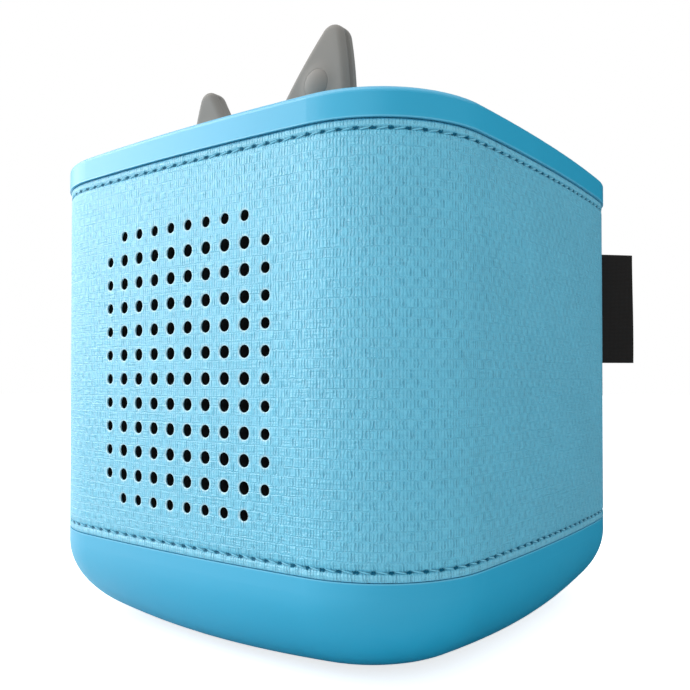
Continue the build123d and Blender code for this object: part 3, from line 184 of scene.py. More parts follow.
# ------------------------------------------------------------------ shared help
def linear(code):
    """An sRGB hex colour as linear red, green, blue and alpha."""
    levels = [int(code[i : i + 2], 16) / 255 for i in (0, 2, 4)]
    return [x / 12.92 if x <= 0.04045 else ((x + 0.055) / 1.055) ** 2.4 for x in levels] + [1.0]


def source(value):
    """What an input gets: for a node its first output in use, and anything else as it is."""
    if isinstance(value, bpy.types.Node):
        return next(socket for socket in value.outputs if socket.enabled)
    return value


def add_node(owner, kind, inputs=None, **settings):
    """Add a node to a material or the world, with its settings, and with each input set or linked."""
    tree = owner.node_tree
    node = tree.nodes.new("ShaderNode" + kind)
    for name, value in settings.items():
        setattr(node, name, value)
    for key, value in (inputs or {}).items():
        value = source(value)
        if isinstance(value, bpy.types.NodeSocket):
            tree.links.new(value, node.inputs[key])
        else:
            node.inputs[key].default_value = value
    return node


def start_material(name, **constants):
    """A new material with constants on its Principled shader, that shader, and what adds nodes."""
    material = bpy.data.materials.new(name)
    material.use_nodes = True
    shader = material.node_tree.nodes["Principled BSDF"]
    for key, value in constants.items():
        shader.inputs[key.replace("_", " ")].default_value = value
    return material, shader, partial(add_node, material)


def join_up(material, shader, **outputs):
    """Link nodes to the shader's sockets."""
    for key, value in outputs.items():
        material.node_tree.links.new(source(value), shader.inputs[key.replace("_", " ")])


def paint(obj, material):
    """Give a piece one material."""
    obj.data.materials.clear()
    obj.data.materials.append(material)


def select_none():
    """Deselect every object."""
    bpy.ops.object.select_all(action="DESELECT")


def select_only(obj):
    """Select one piece, and nothing else."""
    select_none()
    obj.select_set(True)
    bpy.context.view_layer.objects.active = obj


def smooth(obj, angle):
    """Shade a piece smooth, but for edges sharper than the angle."""
    select_only(obj)
    bpy.ops.object.shade_smooth_by_angle(angle=radians(angle))


def apply_modifiers(obj):
    """Apply a piece's modifiers in order."""
    select_only(obj)
    for modifier in list(obj.modifiers):
        bpy.ops.object.modifier_apply(modifier=modifier.name)


def outward(obj):
    """Merge a closed piece's doubles and turn its faces outwards."""
    select_only(obj)
    bpy.ops.object.mode_set(mode="EDIT")
    bpy.ops.mesh.select_all(action="SELECT")
    bpy.ops.mesh.remove_doubles(threshold=1e-6)
    bpy.ops.mesh.normals_make_consistent(inside=False)
    bpy.ops.object.mode_set(mode="OBJECT")


def finish_mesh(name, mesh):
    """Put a mesh made in code on the scene as a piece."""
    data = bpy.data.meshes.new(name)
    mesh.to_mesh(data)
    mesh.free()
    obj = bpy.data.objects.new(name, data)
    bpy.context.scene.collection.objects.link(obj)
    return obj


def add_wall(obj, thickness, offset):
    """Give a sheet its thickness, in millimetres."""
    wall = obj.modifiers.new("wall", "SOLIDIFY")
    wall.thickness = thickness * MM
    wall.offset = offset


def round_edges(obj, width, segments):
    """Round a piece's sharp edges, by so many millimetres."""
    edge = obj.modifiers.new("edge", "BEVEL")
    edge.width = width * MM
    edge.segments = segments
    edge.limit_method = "ANGLE"
    edge.angle_limit = radians(50)


def grow_rings(name, rings, close_first=False, close_last=False):
    """A shape grown from a circle: each ring is extruded from the one before and moved to its place."""
    select_none()
    bpy.ops.mesh.primitive_circle_add(vertices=len(rings[0]), radius=MM, fill_type="NOTHING")
    obj = bpy.context.object
    obj.name = name
    obj.data.name = name
    bpy.ops.object.mode_set(mode="EDIT")
    mesh = bmesh.from_edit_mesh(obj.data)
    place = mesh.verts.layers.int.new("place")
    for index, vert in enumerate(mesh.verts):
        vert[place] = index
        vert.co = rings[0][index]
    bmesh.update_edit_mesh(obj.data)
    bpy.ops.mesh.select_all(action="SELECT")
    if close_first:
        bpy.ops.mesh.edge_face_add()
        mesh = bmesh.from_edit_mesh(obj.data)
        for face in mesh.faces:
            face.select = False
        for edge in mesh.edges:
            edge.select = True
        bmesh.update_edit_mesh(obj.data)
    for ring in rings[1:]:
        bpy.ops.mesh.extrude_edges_move()
        mesh = bmesh.from_edit_mesh(obj.data)
        place = mesh.verts.layers.int["place"]
        for vert in mesh.verts:
            if vert.select:
                vert.co = ring[vert[place]]
        bmesh.update_edit_mesh(obj.data)
    if close_last:
        bpy.ops.mesh.edge_face_add()
    bpy.ops.mesh.select_all(action="SELECT")
    bpy.ops.mesh.normals_make_consistent(inside=False)
    bpy.ops.object.mode_set(mode="OBJECT")
    attribute = obj.data.attributes.get("place")
    if attribute:
        obj.data.attributes.remove(attribute)
    obj.matrix_world.identity()
    return obj


# ------------------------------------------------------------------ body outline
CORNER_MIDDLE = (
    sqrt(8 * (SIDE_RADIUS - CORNER_RADIUS) ** 2 - 4 * (SIDE_RADIUS - HALF_WIDTH) ** 2)
    - 2 * (SIDE_RADIUS - HALF_WIDTH)
) / 4
HALF_ANGLE = atan2(CORNER_MIDDLE, CORNER_MIDDLE + SIDE_RADIUS - HALF_WIDTH)
HALF_SIDE = SIDE_RADIUS * HALF_ANGLE
CORNER_LENGTH = CORNER_RADIUS * (pi / 2 - 2 * HALF_ANGLE)
QUARTER = 2 * HALF_SIDE + CORNER_LENGTH
PERIMETER = 4 * QUARTER
SEAM_AT = HALF_SIDE + CORNER_LENGTH + 2 * HALF_SIDE + CORNER_LENGTH / 2


def around(along, depth=0.0):
    """The point, in millimetres, that is so far round the outline from the front's middle, and so deep."""
    quarter = floor((along + HALF_SIDE) / QUARTER)
    rest = along - quarter * QUARTER
    if rest <= HALF_SIDE:
        way = rest / SIDE_RADIUS
        middle, reach = (-(SIDE_RADIUS - HALF_WIDTH), 0.0), SIDE_RADIUS - depth
    else:
        way = HALF_ANGLE + (rest - HALF_SIDE) / CORNER_RADIUS
        middle, reach = (CORNER_MIDDLE, CORNER_MIDDLE), CORNER_RADIUS - depth
    x, y = middle[0] + reach * cos(way), middle[1] + reach * sin(way)
    turn = radians(90 * quarter - 90)
    return x * cos(turn) - y * sin(turn), x * sin(turn) + y * cos(turn)


# ------------------------------------------------------------------ settings
def colour_setting(name, description, code):
    """A colour that can be set, in the panel too."""
    return bpy.props.FloatVectorProperty(name=name, description=description, size=4, subtype="COLOR",
                                         default=linear(code))


class StoryPlayerFinish(bpy.types.PropertyGroup):
    """Colours and sizes of the player's finish."""

    fabric_light: colour_setting("Fabric, raised yarn", "Colour of the weave's raised yarns", "64C4E2")
    # The sunk yarns' colour is painted shade: the raised yarns' colour, darker where shade falls between them
    fabric_sunk_shade: colour_setting("Fabric, sunk yarn", "Colour between the weave's raised yarns", "3CA3C7")
    plastic: colour_setting("Plastic", "Colour of the base and the cap", "06A3CC")
    ear: colour_setting("Ears", "Colour of the silicone ears", "7D7A75")
    label: colour_setting("Label", "Colour of the woven ribbon label", "1B1918")
    block_width: bpy.props.FloatProperty(
        name="Weave width", description="Width of one raised block, in millimetres", default=2.75)
    block_height: bpy.props.FloatProperty(
        name="Weave height", description="Height of one raised block, in millimetres", default=1.87)
    thread: bpy.props.FloatProperty(
        name="Thread", description="Diameter of the sewing thread, in millimetres", default=0.3)


class StoryPlayerStage(bpy.types.PropertyGroup):
    """Light of the studio."""

    key_power: bpy.props.FloatProperty(
        name="Key light", description="Power of the large softbox, in watts", default=4.9, subtype="POWER")
    card_glow: bpy.props.FloatProperty(
        name="White card", description="Brightness of the card that only reflections see", default=2.6)
    top_power: bpy.props.FloatProperty(
        name="Top light", description="Power of the softbox overhead, in watts", default=3.0, subtype="POWER")
    ambient: bpy.props.FloatProperty(
        name="Room light", description="Level of the even light from all round", default=0.9)


# ------------------------------------------------------------------ materials
def cloth_place(add):
    """Places on a cloth in millimetres, from its UV map."""
    return add("Mapping", {"Vector": add("UVMap", uv_map="cloth"), "Scale": (CLOTH_UNIT,) * 3})


def clouded(add, place, colour, scale, detail, spread):
    """A colour that goes lighter and darker by the spread, in clouds, and the clouds' own noise."""
    cloud = add("TexNoise", {"Vector": place, "Scale": scale, "Detail": detail})
    tint = add("MapRange", {"Value": cloud, "From Min": 0.3, "From Max": 0.7,
                            "To Min": 1 - spread, "To Max": 1 + spread})
    return add("HueSaturation", {"Color": colour, "Value": tint}), cloud


def grained(add, place, size_mm, detail, strength, depth_mm):
    """A bump of noise with grains of a real size, and the noise itself."""
    grain = add("TexNoise", {"Vector": place, "Scale": 1 / (size_mm * MM), "Detail": detail})
    return add("Bump", {"Height": grain, "Strength": strength, "Distance": depth_mm * MM}), grain


def woven_fabric():
    """Polyester jacquard, woven: half-offset raised blocks with upright yarns, soft and without gloss."""
    finish = bpy.context.scene.story_player_finish
    material, shader, add = start_material(
        "polyester_jacquard_woven", Roughness=0.42, Sheen_Weight=0.02, Sheen_Roughness=0.45)
    place = cloth_place(add)
    # The yarns wander by about 0.2 mm
    drift = add("TexNoise", {"Vector": place, "Scale": 0.9, "Detail": 2.0})
    offset = add("VectorMath", {0: drift.outputs["Color"], 1: (0.5, 0.5, 0.5)}, operation="SUBTRACT")
    woven = add("VectorMath", {0: offset, 1: (0.55, 0.5, 0.0), 2: place}, operation="MULTIPLY_ADD")
    axes = add("SeparateXYZ", {"Vector": place})
    spots = add("SeparateXYZ", {"Vector": woven})
    # Rows of blocks, each set half a block aside from the one below
    row = add("Math", {0: spots.outputs["Y"], 1: finish.block_height}, operation="DIVIDE")
    level = add("Math", {0: row}, operation="FLOOR")
    within = add("Math", {0: row}, operation="FRACT")
    odd = add("Math", {0: level, 1: 2.0}, operation="FLOORED_MODULO")
    column = add("Math", {0: spots.outputs["X"], 1: finish.block_width}, operation="DIVIDE")
    block = add("Math", {0: odd, 1: 0.5, 2: column}, operation="MULTIPLY_ADD")
    # One half of each block is a smooth float, and the other half shows upright yarns with gaps between
    turn = add("Math", {0: block, 1: 2 * pi}, operation="MULTIPLY")
    swing = add("Math", {0: turn}, operation="COSINE")
    group = add("MapRange", {"Value": swing, "From Min": -0.7, "From Max": 0.8, "To Min": 0.4},
                interpolation_type="SMOOTHSTEP")
    yarn_turn = add("Math", {0: turn, 1: 4.0}, operation="MULTIPLY")
    yarn_swing = add("Math", {0: yarn_turn}, operation="COSINE")
    gap = add("MapRange", {"Value": yarn_swing, "From Min": -0.5, "From Max": 1.0},
              interpolation_type="SMOOTHSTEP")
    # The gaps close towards both ends of a row, and open more or less from one to the next
    end = add("Math", {0: within, 1: 0.5, 2: 0.5}, operation="PINGPONG")
    span = add("MapRange", {"Value": end, "From Min": 0.0, "From Max": 0.2}, interpolation_type="SMOOTHSTEP")
    loose = add("TexNoise", {"Vector": place, "Scale": 0.8, "Detail": 1.0})
    opening = add("MapRange", {"Value": loose, "From Min": 0.3, "From Max": 0.7, "To Min": 0.5,
                               "To Max": 1.0})
    stroke = gap
    for share in (group, span, opening):
        stroke = add("Math", {0: stroke, 1: share}, operation="MULTIPLY")
    # A faint ditch where two rows meet
    ditch = add("MapRange", {"Value": end, "From Min": 0.0, "From Max": 0.11, "To Min": 0.42, "To Max": 0.0})
    sunk = add("Math", {0: stroke, 1: ditch}, operation="ADD")
    yarn = add("Math", {0: 1.0, 1: sunk}, operation="SUBTRACT")
    # Warp and weft threads, 0.2 mm apart in cloth of this kind, are drawn 0.4 mm apart to show
    warp_place = add("VectorMath", {0: woven, 1: (2.6, 0.4, 1.0)}, operation="MULTIPLY")
    warp = add("TexNoise", {"Vector": warp_place, "Scale": 1.0, "Detail": 1.0})
    weft_place = add("VectorMath", {0: woven, 1: (0.25, 2.6, 1.0)}, operation="MULTIPLY")
    weft = add("TexNoise", {"Vector": weft_place, "Scale": 1.0, "Detail": 1.5})
    threads = add("Math", {0: warp, 1: 0.7, 2: weft}, operation="MULTIPLY_ADD")
    height = add("Math", {0: threads, 1: 1.0, 2: yarn}, operation="MULTIPLY_ADD")
    # Painted shade: the lower a yarn lies, in the gaps and the ditch, the nearer its colour goes to the
    # darker sunk-yarn colour
    share = add("MapRange", {"Value": height, "From Min": 0.65, "From Max": 2.05})
    cloth = add("Mix", {"Factor": share, "A": list(finish.fabric_sunk_shade), "B": list(finish.fabric_light)},
                data_type="RGBA")
    # Dye takes a little unevenly
    colour, cloud = clouded(add, place, cloth, 0.06, 2.0, 0.025)
    # Painted shade: the needle holes and the groove that the stitches pull in are painted darker along both
    # seams
    middle = (SEAM_LOW + SEAM_HIGH) / 2
    from_middle = add("Math", {0: axes.outputs["Y"], 1: middle}, operation="SUBTRACT")
    away = add("Math", {0: from_middle}, operation="ABSOLUTE")
    line = (SEAM_HIGH - SEAM_LOW) / 2 - STITCH_INSET
    across = add("Math", {0: away, 1: line}, operation="SUBTRACT")
    pitch = PERIMETER / STITCHES
    count = add("Math", {0: axes.outputs["X"], 1: pitch}, operation="DIVIDE")
    step = add("Math", {0: count}, operation="FRACT")
    centred = add("Math", {0: step, 1: 0.5}, operation="SUBTRACT")
    aside = add("Math", {0: centred, 1: pitch / 0.78}, operation="MULTIPLY")
    upright = add("Math", {0: across, 1: 1 / 0.38}, operation="MULTIPLY")
    spot = add("CombineXYZ", {"X": aside, "Y": upright})
    reach = add("VectorMath", {0: spot}, operation="LENGTH")
    # Frayed round the edge by 0.2 mm
    fray = add("TexNoise", {"Vector": place, "Scale": 2.4, "Detail": 2.0})
    ragged = add("Math", {0: fray, 1: 1.5, 2: reach}, operation="MULTIPLY_ADD")
    hole = add("MapRange", {"Value": ragged, "From Min": 1.9, "From Max": 1.3},
               interpolation_type="SMOOTHSTEP")
    off_line = add("Math", {0: across}, operation="ABSOLUTE")
    stitch_groove_shade = add("MapRange", {"Value": off_line, "From Min": 0.55, "From Max": 0.1, "To Max": 0.28},
               interpolation_type="SMOOTHSTEP")
    dark = add("Math", {0: hole, 1: stitch_groove_shade}, operation="MAXIMUM")
    # The hem is two layers, pressed flat, and looks a little lighter than the cloth above it
    hem = add("MapRange", {"Value": across, "From Min": 0.35, "From Max": 0.7, "To Max": 0.14})
    # Painted shade: the edge that turns in under the cap is painted a deep teal, for the shade in the gap
    # under the cap
    above = add("Math", {0: from_middle, 1: line}, operation="SUBTRACT")
    tuck = add("MapRange", {"Value": above, "From Min": STITCH_INSET - 0.55,
                            "From Max": STITCH_INSET - 0.25}, interpolation_type="SMOOTHSTEP")
    # Each punched hole has a pale sealed rim
    rim = add("Attribute", attribute_name="sealed_rim")
    # Mixed in turn: painted shade in the needle holes and the stitch groove, the lighter hem, painted shade
    # on the tucked edge, and the pale hole rims
    for share, code in ((dark, "005E7E"), (hem, "A6E2F5"), (tuck, "0378A0"), (rim.outputs["Fac"], "C8EEF9")):
        colour = add("Mix", {"Factor": share, "A": colour, "B": linear(code)}, data_type="RGBA")
    relief = add("Math", {0: hole, 1: -1.0, 2: height}, operation="MULTIPLY_ADD")
    bump = add("Bump", {"Height": relief, "Strength": 1.0, "Distance": 0.00024})
    gloss = add("MapRange", {"Value": dark, "To Min": 1.0, "To Max": 0.15})
    join_up(material, shader, Base_Color=colour, Specular_IOR_Level=gloss, Normal=bump)
    return material


def moulded_abs(name, level):
    """ABS, injection moulded with a fine spark-eroded texture: an even satin colour and soft highlights."""
    finish = bpy.context.scene.story_player_finish
    material, shader, add = start_material(name, IOR=1.5, Specular_IOR_Level=0.9)
    place = add("TexCoord").outputs["Object"]
    body, cloud = clouded(add, place, list(finish.plastic), 30.0, 3.0, 0.015)
    # Painted highlight: the moulded lip beside a seam is painted a little paler, 0.4 mm wide, as if its edge
    # caught the light
    axes = add("SeparateXYZ", {"Vector": place})
    from_lip = add("Math", {0: axes.outputs["Z"], 1: level * MM}, operation="SUBTRACT")
    away = add("Math", {0: from_lip}, operation="ABSOLUTE")
    lip_highlight = add("MapRange", {"Value": away, "From Min": 0.00035, "From Max": 0.0001, "To Max": 0.3},
              interpolation_type="SMOOTHSTEP")
    colour = add("Mix", {"Factor": lip_highlight, "A": body, "B": linear("8FD8F0")}, data_type="RGBA")
    bump, grain = grained(add, place, 0.12, 1.0, 0.12, 0.02)
    gloss = add("MapRange", {"Value": cloud, "To Min": 0.37, "To Max": 0.43})
    join_up(material, shader, Base_Color=colour, Roughness=gloss, Normal=bump)
    return material


def moulded_silicone():
    """Silicone, moulded: matt and slightly dusty."""
    finish = bpy.context.scene.story_player_finish
    material, shader, add = start_material(
        "silicone_moulded", IOR=1.41, Sheen_Weight=0.12, Sheen_Roughness=0.5, Specular_IOR_Level=0.35)
    place = add("TexCoord").outputs["Object"]
    colour, cloud = clouded(add, place, list(finish.ear), 90.0, 4.0, 0.03)
    bump, grain = grained(add, place, 0.2, 2.0, 0.15, 0.04)
    gloss = add("MapRange", {"Value": cloud, "To Min": 0.58, "To Max": 0.7})
    join_up(material, shader, Base_Color=colour, Roughness=gloss, Normal=bump)
    return material


def woven_ribbon():
    """Polyester ribbon, woven: near black, with fine slanting ribs that catch a little light."""
    finish = bpy.context.scene.story_player_finish
    material, shader, add = start_material(
        "polyester_ribbon_woven", Roughness=0.75, Sheen_Weight=0.02, Specular_IOR_Level=0.2)
    place = cloth_place(add)
    # Ribs of warp and weft 0.3 mm apart, drawn 0.4 mm apart to show
    warp = add("TexWave", {"Vector": place, "Scale": 0.314 / 0.4, "Distortion": 0.4}, bands_direction="Y",
               wave_profile="SIN")
    weft = add("TexWave", {"Vector": place, "Scale": 0.314 / 0.4, "Distortion": 0.4}, bands_direction="X",
               wave_profile="SIN")
    both = add("Math", {0: warp.outputs["Fac"], 1: weft.outputs["Fac"]}, operation="MULTIPLY")
    colour = add("Mix", {"Factor": both, "A": list(finish.label), "B": linear("2B2827")}, data_type="RGBA")
    bump = add("Bump", {"Height": both, "Strength": 0.5, "Distance": 0.00008})
    join_up(material, shader, Base_Color=colour, Normal=bump)
    return material


def spun_thread():
    """Polyester sewing thread, spun: two plies that twist, a little glossier than the cloth."""
    material, shader, add = start_material("polyester_thread_spun", Roughness=0.6, Sheen_Weight=0.2)
    bump, plies = grained(add, add("TexCoord").outputs["Object"], 0.4, 1.0, 0.4, 0.05)
    colour = add("Mix", {"Factor": plies, "A": linear("4FB2D2"), "B": linear("7CCBE2")}, data_type="RGBA")
    join_up(material, shader, Base_Color=colour, Normal=bump)
    return material


def plain_finish(name, low, high, grain_mm, bump_mm, **constants):
    """A finish of two close colours in a grain of a real size, with a bump of the same grain."""
    material, shader, add = start_material(name, **constants)
    bump, grain = grained(add, add("TexCoord").outputs["Object"], grain_mm, 3.0, 0.3, bump_mm)
    colour = add("Mix", {"Factor": grain, "A": linear(low), "B": linear(high)}, data_type="RGBA")
    join_up(material, shader, Base_Color=colour, Normal=bump)
    return material


def frame_finishes():
    """Finishes of the frame's own pieces, by the record's material slots."""
    finishes = {"base_plastic": moulded_abs("abs_base_moulded", SEAM_LOW),
                "cap_plastic": moulded_abs("abs_cap_moulded", SEAM_HIGH)}
    # Name, two close colours, size of the grain and depth of its bump in millimetres, and roughness
    plain = {
        # Thermoplastic rubber, moulded: dark grey, dull, with a fine dust-like grain
        "feet_rubber": ("rubber_feet_moulded", "2B2C2D", "3A3B3C", 0.3, 0.03, 0.8),
        # Open-cell polyurethane foam, cut: dark, with pores that swallow the light
        "foam": ("polyurethane_foam_cut", "0E0F10", "1C1D1F", 0.5, 0.2, 1.0),
        # Polyester mesh, woven: near black, 0.25 mm openings
        "acoustic_mesh": ("polyester_mesh_woven", "050505", "141414", 0.25, 0.1, 0.9),
        # ABS, moulded without texture: off-white, a little glossy
        "inner_plastic": ("abs_inner_moulded", "C9CBCB", "D6D8D8", 8.0, 0.02, 0.45),
        # Glass-filled nylon, moulded: black and satin
        "dark_plastic": ("nylon_moulded", "1D1E20", "27282A", 2.0, 0.02, 0.5),
        # Acrylic, polished: clear, so the light shows through it
        "clear_plastic": ("acrylic_polished", "F1F6F8", "FFFFFF", 10.0, 0.0, 0.12,
                          {"Transmission_Weight": 0.85, "IOR": 1.49}),
        # Glass-epoxy board, solder-masked: deep green with faint copper showing under it
        "board": ("epoxy_board_masked", "0F4A2C", "1A6B40", 1.5, 0.02, 0.35),
        # Steel, zinc plated: pale grey metal with fine drawn marks
        "steel": ("steel_zinc_plated", "A9ABAC", "C4C6C8", 0.4, 0.01, 0.35, {"Metallic": 1.0}),
        # Gold flash on nickel, plated: warm metal, nearly polished
        "gold": ("gold_plated", "D9B45A", "E8C878", 0.6, 0.005, 0.22, {"Metallic": 1.0}),
        # Copper, etched: reddish metal
        "copper": ("copper_etched", "B46A3C", "C97F50", 0.5, 0.01, 0.3, {"Metallic": 1.0}),
        # Ferrite, sintered: dark grey with a chalky grain
        "magnet": ("ferrite_sintered", "2C2D2F", "3D3E40", 0.4, 0.04, 0.65),
        # Paper pulp, pressed: black-brown with fibres
        "paper": ("paper_pulp_pressed", "1E1B19", "322D2A", 0.5, 0.08, 0.9),
        # Heat-shrink sleeve on the cells, shrunk: smooth blue-grey film
        "cell_wrap": ("pvc_sleeve_shrunk", "3C4650", "4A5560", 6.0, 0.01, 0.3),
        # PVC lead jacket, extruded: satin black
        "lead_jacket": ("pvc_jacket_extruded", "1A1A1B", "262627", 1.0, 0.01, 0.45),
        # Light diode in its epoxy case, cast: milky
        "led": ("epoxy_lens_cast", "E6E8E4", "F5F6F2", 1.0, 0.0, 0.25),
    }
    for slot, (name, low, high, grain_mm, bump_mm, roughness, *more) in plain.items():
        finishes[slot] = plain_finish(name, low, high, grain_mm, bump_mm, Roughness=roughness,
                                      **dict(*more))
    return finishes


# ------------------------------------------------------------------ pieces
def dive(from_edge):
    """How deep the cloth lies, in millimetres, so far from its end."""
    for (start, deep), (end, deeper) in zip(HEM_DEPTHS, HEM_DEPTHS[1:]):
        if from_edge <= end:
            return deep + (deeper - deep) * (from_edge - start) / (end - start)
    return 0.0


class PLAYER_OT_sleeve(bpy.types.Operator):
    """Fabric sleeve, cut with its holes and turned in at both ends"""

    bl_idname = "player.sleeve"
    bl_label = "Fabric sleeve"

    def execute(self, context):
        low, high = SEAM_LOW + EDGE_GAP, SEAM_HIGH - EDGE_GAP
        half_field = HOLE_COLUMNS * HOLE_PITCH / 2
        field_low = HOLE_FIELD_BOTTOM - HOLE_PITCH / 2
        field_high = field_low + HOLE_ROWS * HOLE_PITCH
        fine = HOLE_PITCH / CELL_PARTS
        start = SEAM_AT - PERIMETER
        columns = []
        for first, last, parts in ((start, -half_field, LEFT_PARTS),
                                   (-half_field, half_field, HOLE_COLUMNS * CELL_PARTS),
                                   (half_field, SEAM_AT, RIGHT_PARTS)):
            columns += [first + (last - first) * i / parts for i in range(parts)]
        columns.append(SEAM_AT)
        hem = [stop for stop, depth in HEM_DEPTHS[:-1]] + [HEM_REACH]
        rows = [low + x for x in hem] + [low + LOW_ROW]
        rows += [field_low + fine * i for i in range(HOLE_ROWS * CELL_PARTS + 1)]
        rows += [field_high + x for x in HIGH_ROWS]
        rows = [z for z in rows if z < high - HIGH_FREE] + [high - x for x in reversed(hem)]
        first_column = min(range(len(columns)), key=lambda i: abs(columns[i] + half_field))
        first_row = min(range(len(rows)), key=lambda i: abs(rows[i] - field_low))
        holes = {}
        for column in range(HOLE_COLUMNS):
            for row in range(HOLE_ROWS):
                side, end = column in (0, HOLE_COLUMNS - 1), row in (0, HOLE_ROWS - 1)
                if not (side and end):
                    holes[column, row] = EDGE_HOLE_RADIUS if side or end else HOLE_RADIUS

        mesh = bmesh.new()
        uv = mesh.loops.layers.uv.new("cloth")
        rim = mesh.verts.layers.float.new("sealed_rim")
        places = {}

        def vertex(along, z, depth, sealed=0.0):
            seam = min(along - start, SEAM_AT - along)
            tuck = TUCK_DEPTH * max(0.0, 1 - seam / TUCK_WIDTH) ** 2
            x, y = around(along, dive(min(z - low, high - z)) + depth + tuck)
            made = mesh.verts.new((x * MM, y * MM, z * MM))
            made[rim] = sealed
            places[made] = (along / CLOTH_UNIT, z / CLOTH_UNIT)
            return made

        def face(*corners):
            made = mesh.faces.new(corners)
            for loop in made.loops:
                loop[uv].uv = places[loop.vert]
            made.smooth = True

        grid = [[None] * len(rows) for _ in columns]

        def at(i, j):
            if grid[i][j] is None:
                grid[i][j] = vertex(columns[i], rows[j], 0.0)
            return grid[i][j]

        for i in range(len(columns) - 1):
            for j in range(len(rows) - 1):
                cell = ((i - first_column) // CELL_PARTS, (j - first_row) // CELL_PARTS)
                if cell not in holes:
                    face(at(i, j), at(i + 1, j), at(i + 1, j + 1), at(i, j + 1))
        for (column, row), radius in holes.items():
            i, j = first_column + column * CELL_PARTS, first_row + row * CELL_PARTS
            n = CELL_PARTS
            border = ([(i + k, j) for k in range(n)] + [(i + n, j + k) for k in range(n)]
                      + [(i + n - k, j + n) for k in range(n)] + [(i, j + n - k) for k in range(n)])
            ring = [at(*spot) for spot in border]
            centre = ((columns[i] + columns[i + n]) / 2, (rows[j] + rows[j + n]) / 2)
            for extra, depth, sealed in HOLE_RINGS:
                inner = []
                for k, (a, b) in enumerate(border):
                    way = 2 * pi * k / len(border) - 3 * pi / 4
                    inner.append(vertex(centre[0] + (radius + extra) * cos(way),
                                        centre[1] + (radius + extra) * sin(way), depth, sealed))
                for k in range(len(ring)):
                    after = (k + 1) % len(ring)
                    face(ring[k], ring[after], inner[after], inner[k])
                ring = inner
        mesh.normal_update()
        obj = finish_mesh("sleeve_fabric", mesh)
        add_wall(obj, SLEEVE_THICKNESS, -1.0)
        apply_modifiers(obj)
        paint(obj, woven_fabric())
        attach(obj, "player")
        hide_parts("fabric_sleeve")
        return {"FINISHED"}


class PLAYER_OT_stitches(bpy.types.Operator):
    """Rows of slanting stitches along both ends of the sleeve"""

    bl_idname = "player.stitches"
    bl_label = "Hem stitches"

    def execute(self, context):
        thread = context.scene.story_player_finish.thread / 2
        pitch = PERIMETER / STITCHES
        select_none()
        bpy.ops.mesh.primitive_uv_sphere_add(segments=STITCH_SIDES, ring_count=STITCH_RINGS,
                                             radius=thread * MM)
        model = bpy.context.object
        bpy.ops.object.mode_set(mode="EDIT")
        bpy.ops.mesh.select_all(action="SELECT")
        bpy.ops.transform.resize(value=(1, STITCH_FLAT, (pitch - STITCH_GAP) / 2 / thread))
        bpy.ops.object.mode_set(mode="OBJECT")
        shape = [Vector(v.co) / MM for v in model.data.vertices]
        faces = [tuple(p.vertices) for p in model.data.polygons]
        bpy.data.objects.remove(model)

        points, polygons = [], []
        for level, up in ((SEAM_LOW + EDGE_GAP + STITCH_INSET, 1),
                          (SEAM_HIGH - EDGE_GAP - STITCH_INSET, -1)):
            for index in range(STITCHES):
                middle = (index + 1 + floor((SEAM_AT - PERIMETER) / pitch)) * pitch
                first = len(points)
                for co in shape:
                    # The stitch's long axis runs along the seam and leans across it
                    run, lean, lift = co.z, co.x, co.y
                    along = middle + run
                    z = level + up * (STITCH_UP + lean - STITCH_LEAN * run / (pitch / 2))
                    arch = STITCH_ARCH * (1 - (run / (pitch / 2)) ** 2)
                    x, y = around(along, STITCH_DEPTH - arch - lift)
                    points.append((x * MM, y * MM, z * MM))
                polygons += [tuple(first + k for k in face) for face in faces]
        data = bpy.data.meshes.new("hem_stitches")
        data.from_pydata(points, [], polygons)
        obj = bpy.data.objects.new("hem_stitches", data)
        context.scene.collection.objects.link(obj)
        outward(obj)
        smooth(obj, 80)
        paint(obj, spun_thread())
        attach(obj, "player")
        return {"FINISHED"}


def arc_to(start, way, end, parts):
    """Points of the arc that leaves start in a direction and ends at end."""
    normal = Vector((-sin(way), cos(way)))
    span = Vector(end) - Vector(start)
    reach = span.length_squared / (2 * span.dot(normal))
    centre = Vector(start) + normal * reach
    first = atan2(start[1] - centre[1], start[0] - centre[0])
    last = atan2(end[1] - centre[1], end[0] - centre[0])
    turn = (last - first + pi) % (2 * pi) - pi
    return [(centre[0] + abs(reach) * cos(first + turn * i / parts),
             centre[1] + abs(reach) * sin(first + turn * i / parts)) for i in range(1, parts + 1)]


def ear_outline(ear):
    """An ear's front view as points and outward normals: tip, inner flank, foot, outer flank."""
    tip, radius = ear["tip"], ear["tip_radius"]
    lean_out, lean_in = (radians(lean) for lean in ear["lean"])
    crown = [(tip[0] + radius * cos(a), tip[1] + radius * sin(a))
             for a in (lean_out + (lean_in - lean_out) * i / CROWN_PARTS for i in range(CROWN_PARTS + 1))]
    inner = arc_to(crown[-1], lean_in + pi / 2, (ear["inner"], 0), FLANK_PARTS)
    near, far = ear["slot"]
    foot = [(near, -EAR_ROOT * i / ROOT_PARTS) for i in range(1, ROOT_PARTS + 1)]
    foot += [(near + (far - near) * i / FOOT_PARTS, -EAR_ROOT) for i in range(1, FOOT_PARTS + 1)]
    foot += [(far, -EAR_ROOT * (1 - i / ROOT_PARTS)) for i in range(1, ROOT_PARTS)] + [(ear["outer"], 0)]
    outer = list(reversed(arc_to(crown[0], lean_out - pi / 2, (ear["outer"], 0), FLANK_PARTS)))[1:]
    points = [Vector(p) for p in crown + inner + foot + outer]
    normals = []
    for i, point in enumerate(points):
        way = points[(i + 1) % len(points)] - points[i - 1]
        normals.append(Vector((way.y, -way.x)).normalized())
        if point.y < -0.01:
            # Below the cap both flanks go straight down, so insets there move along the foot only
            share = (point.x - near) / (far - near)
            normals[-1] = Vector((2 * share - 1, 0))
    return points, normals


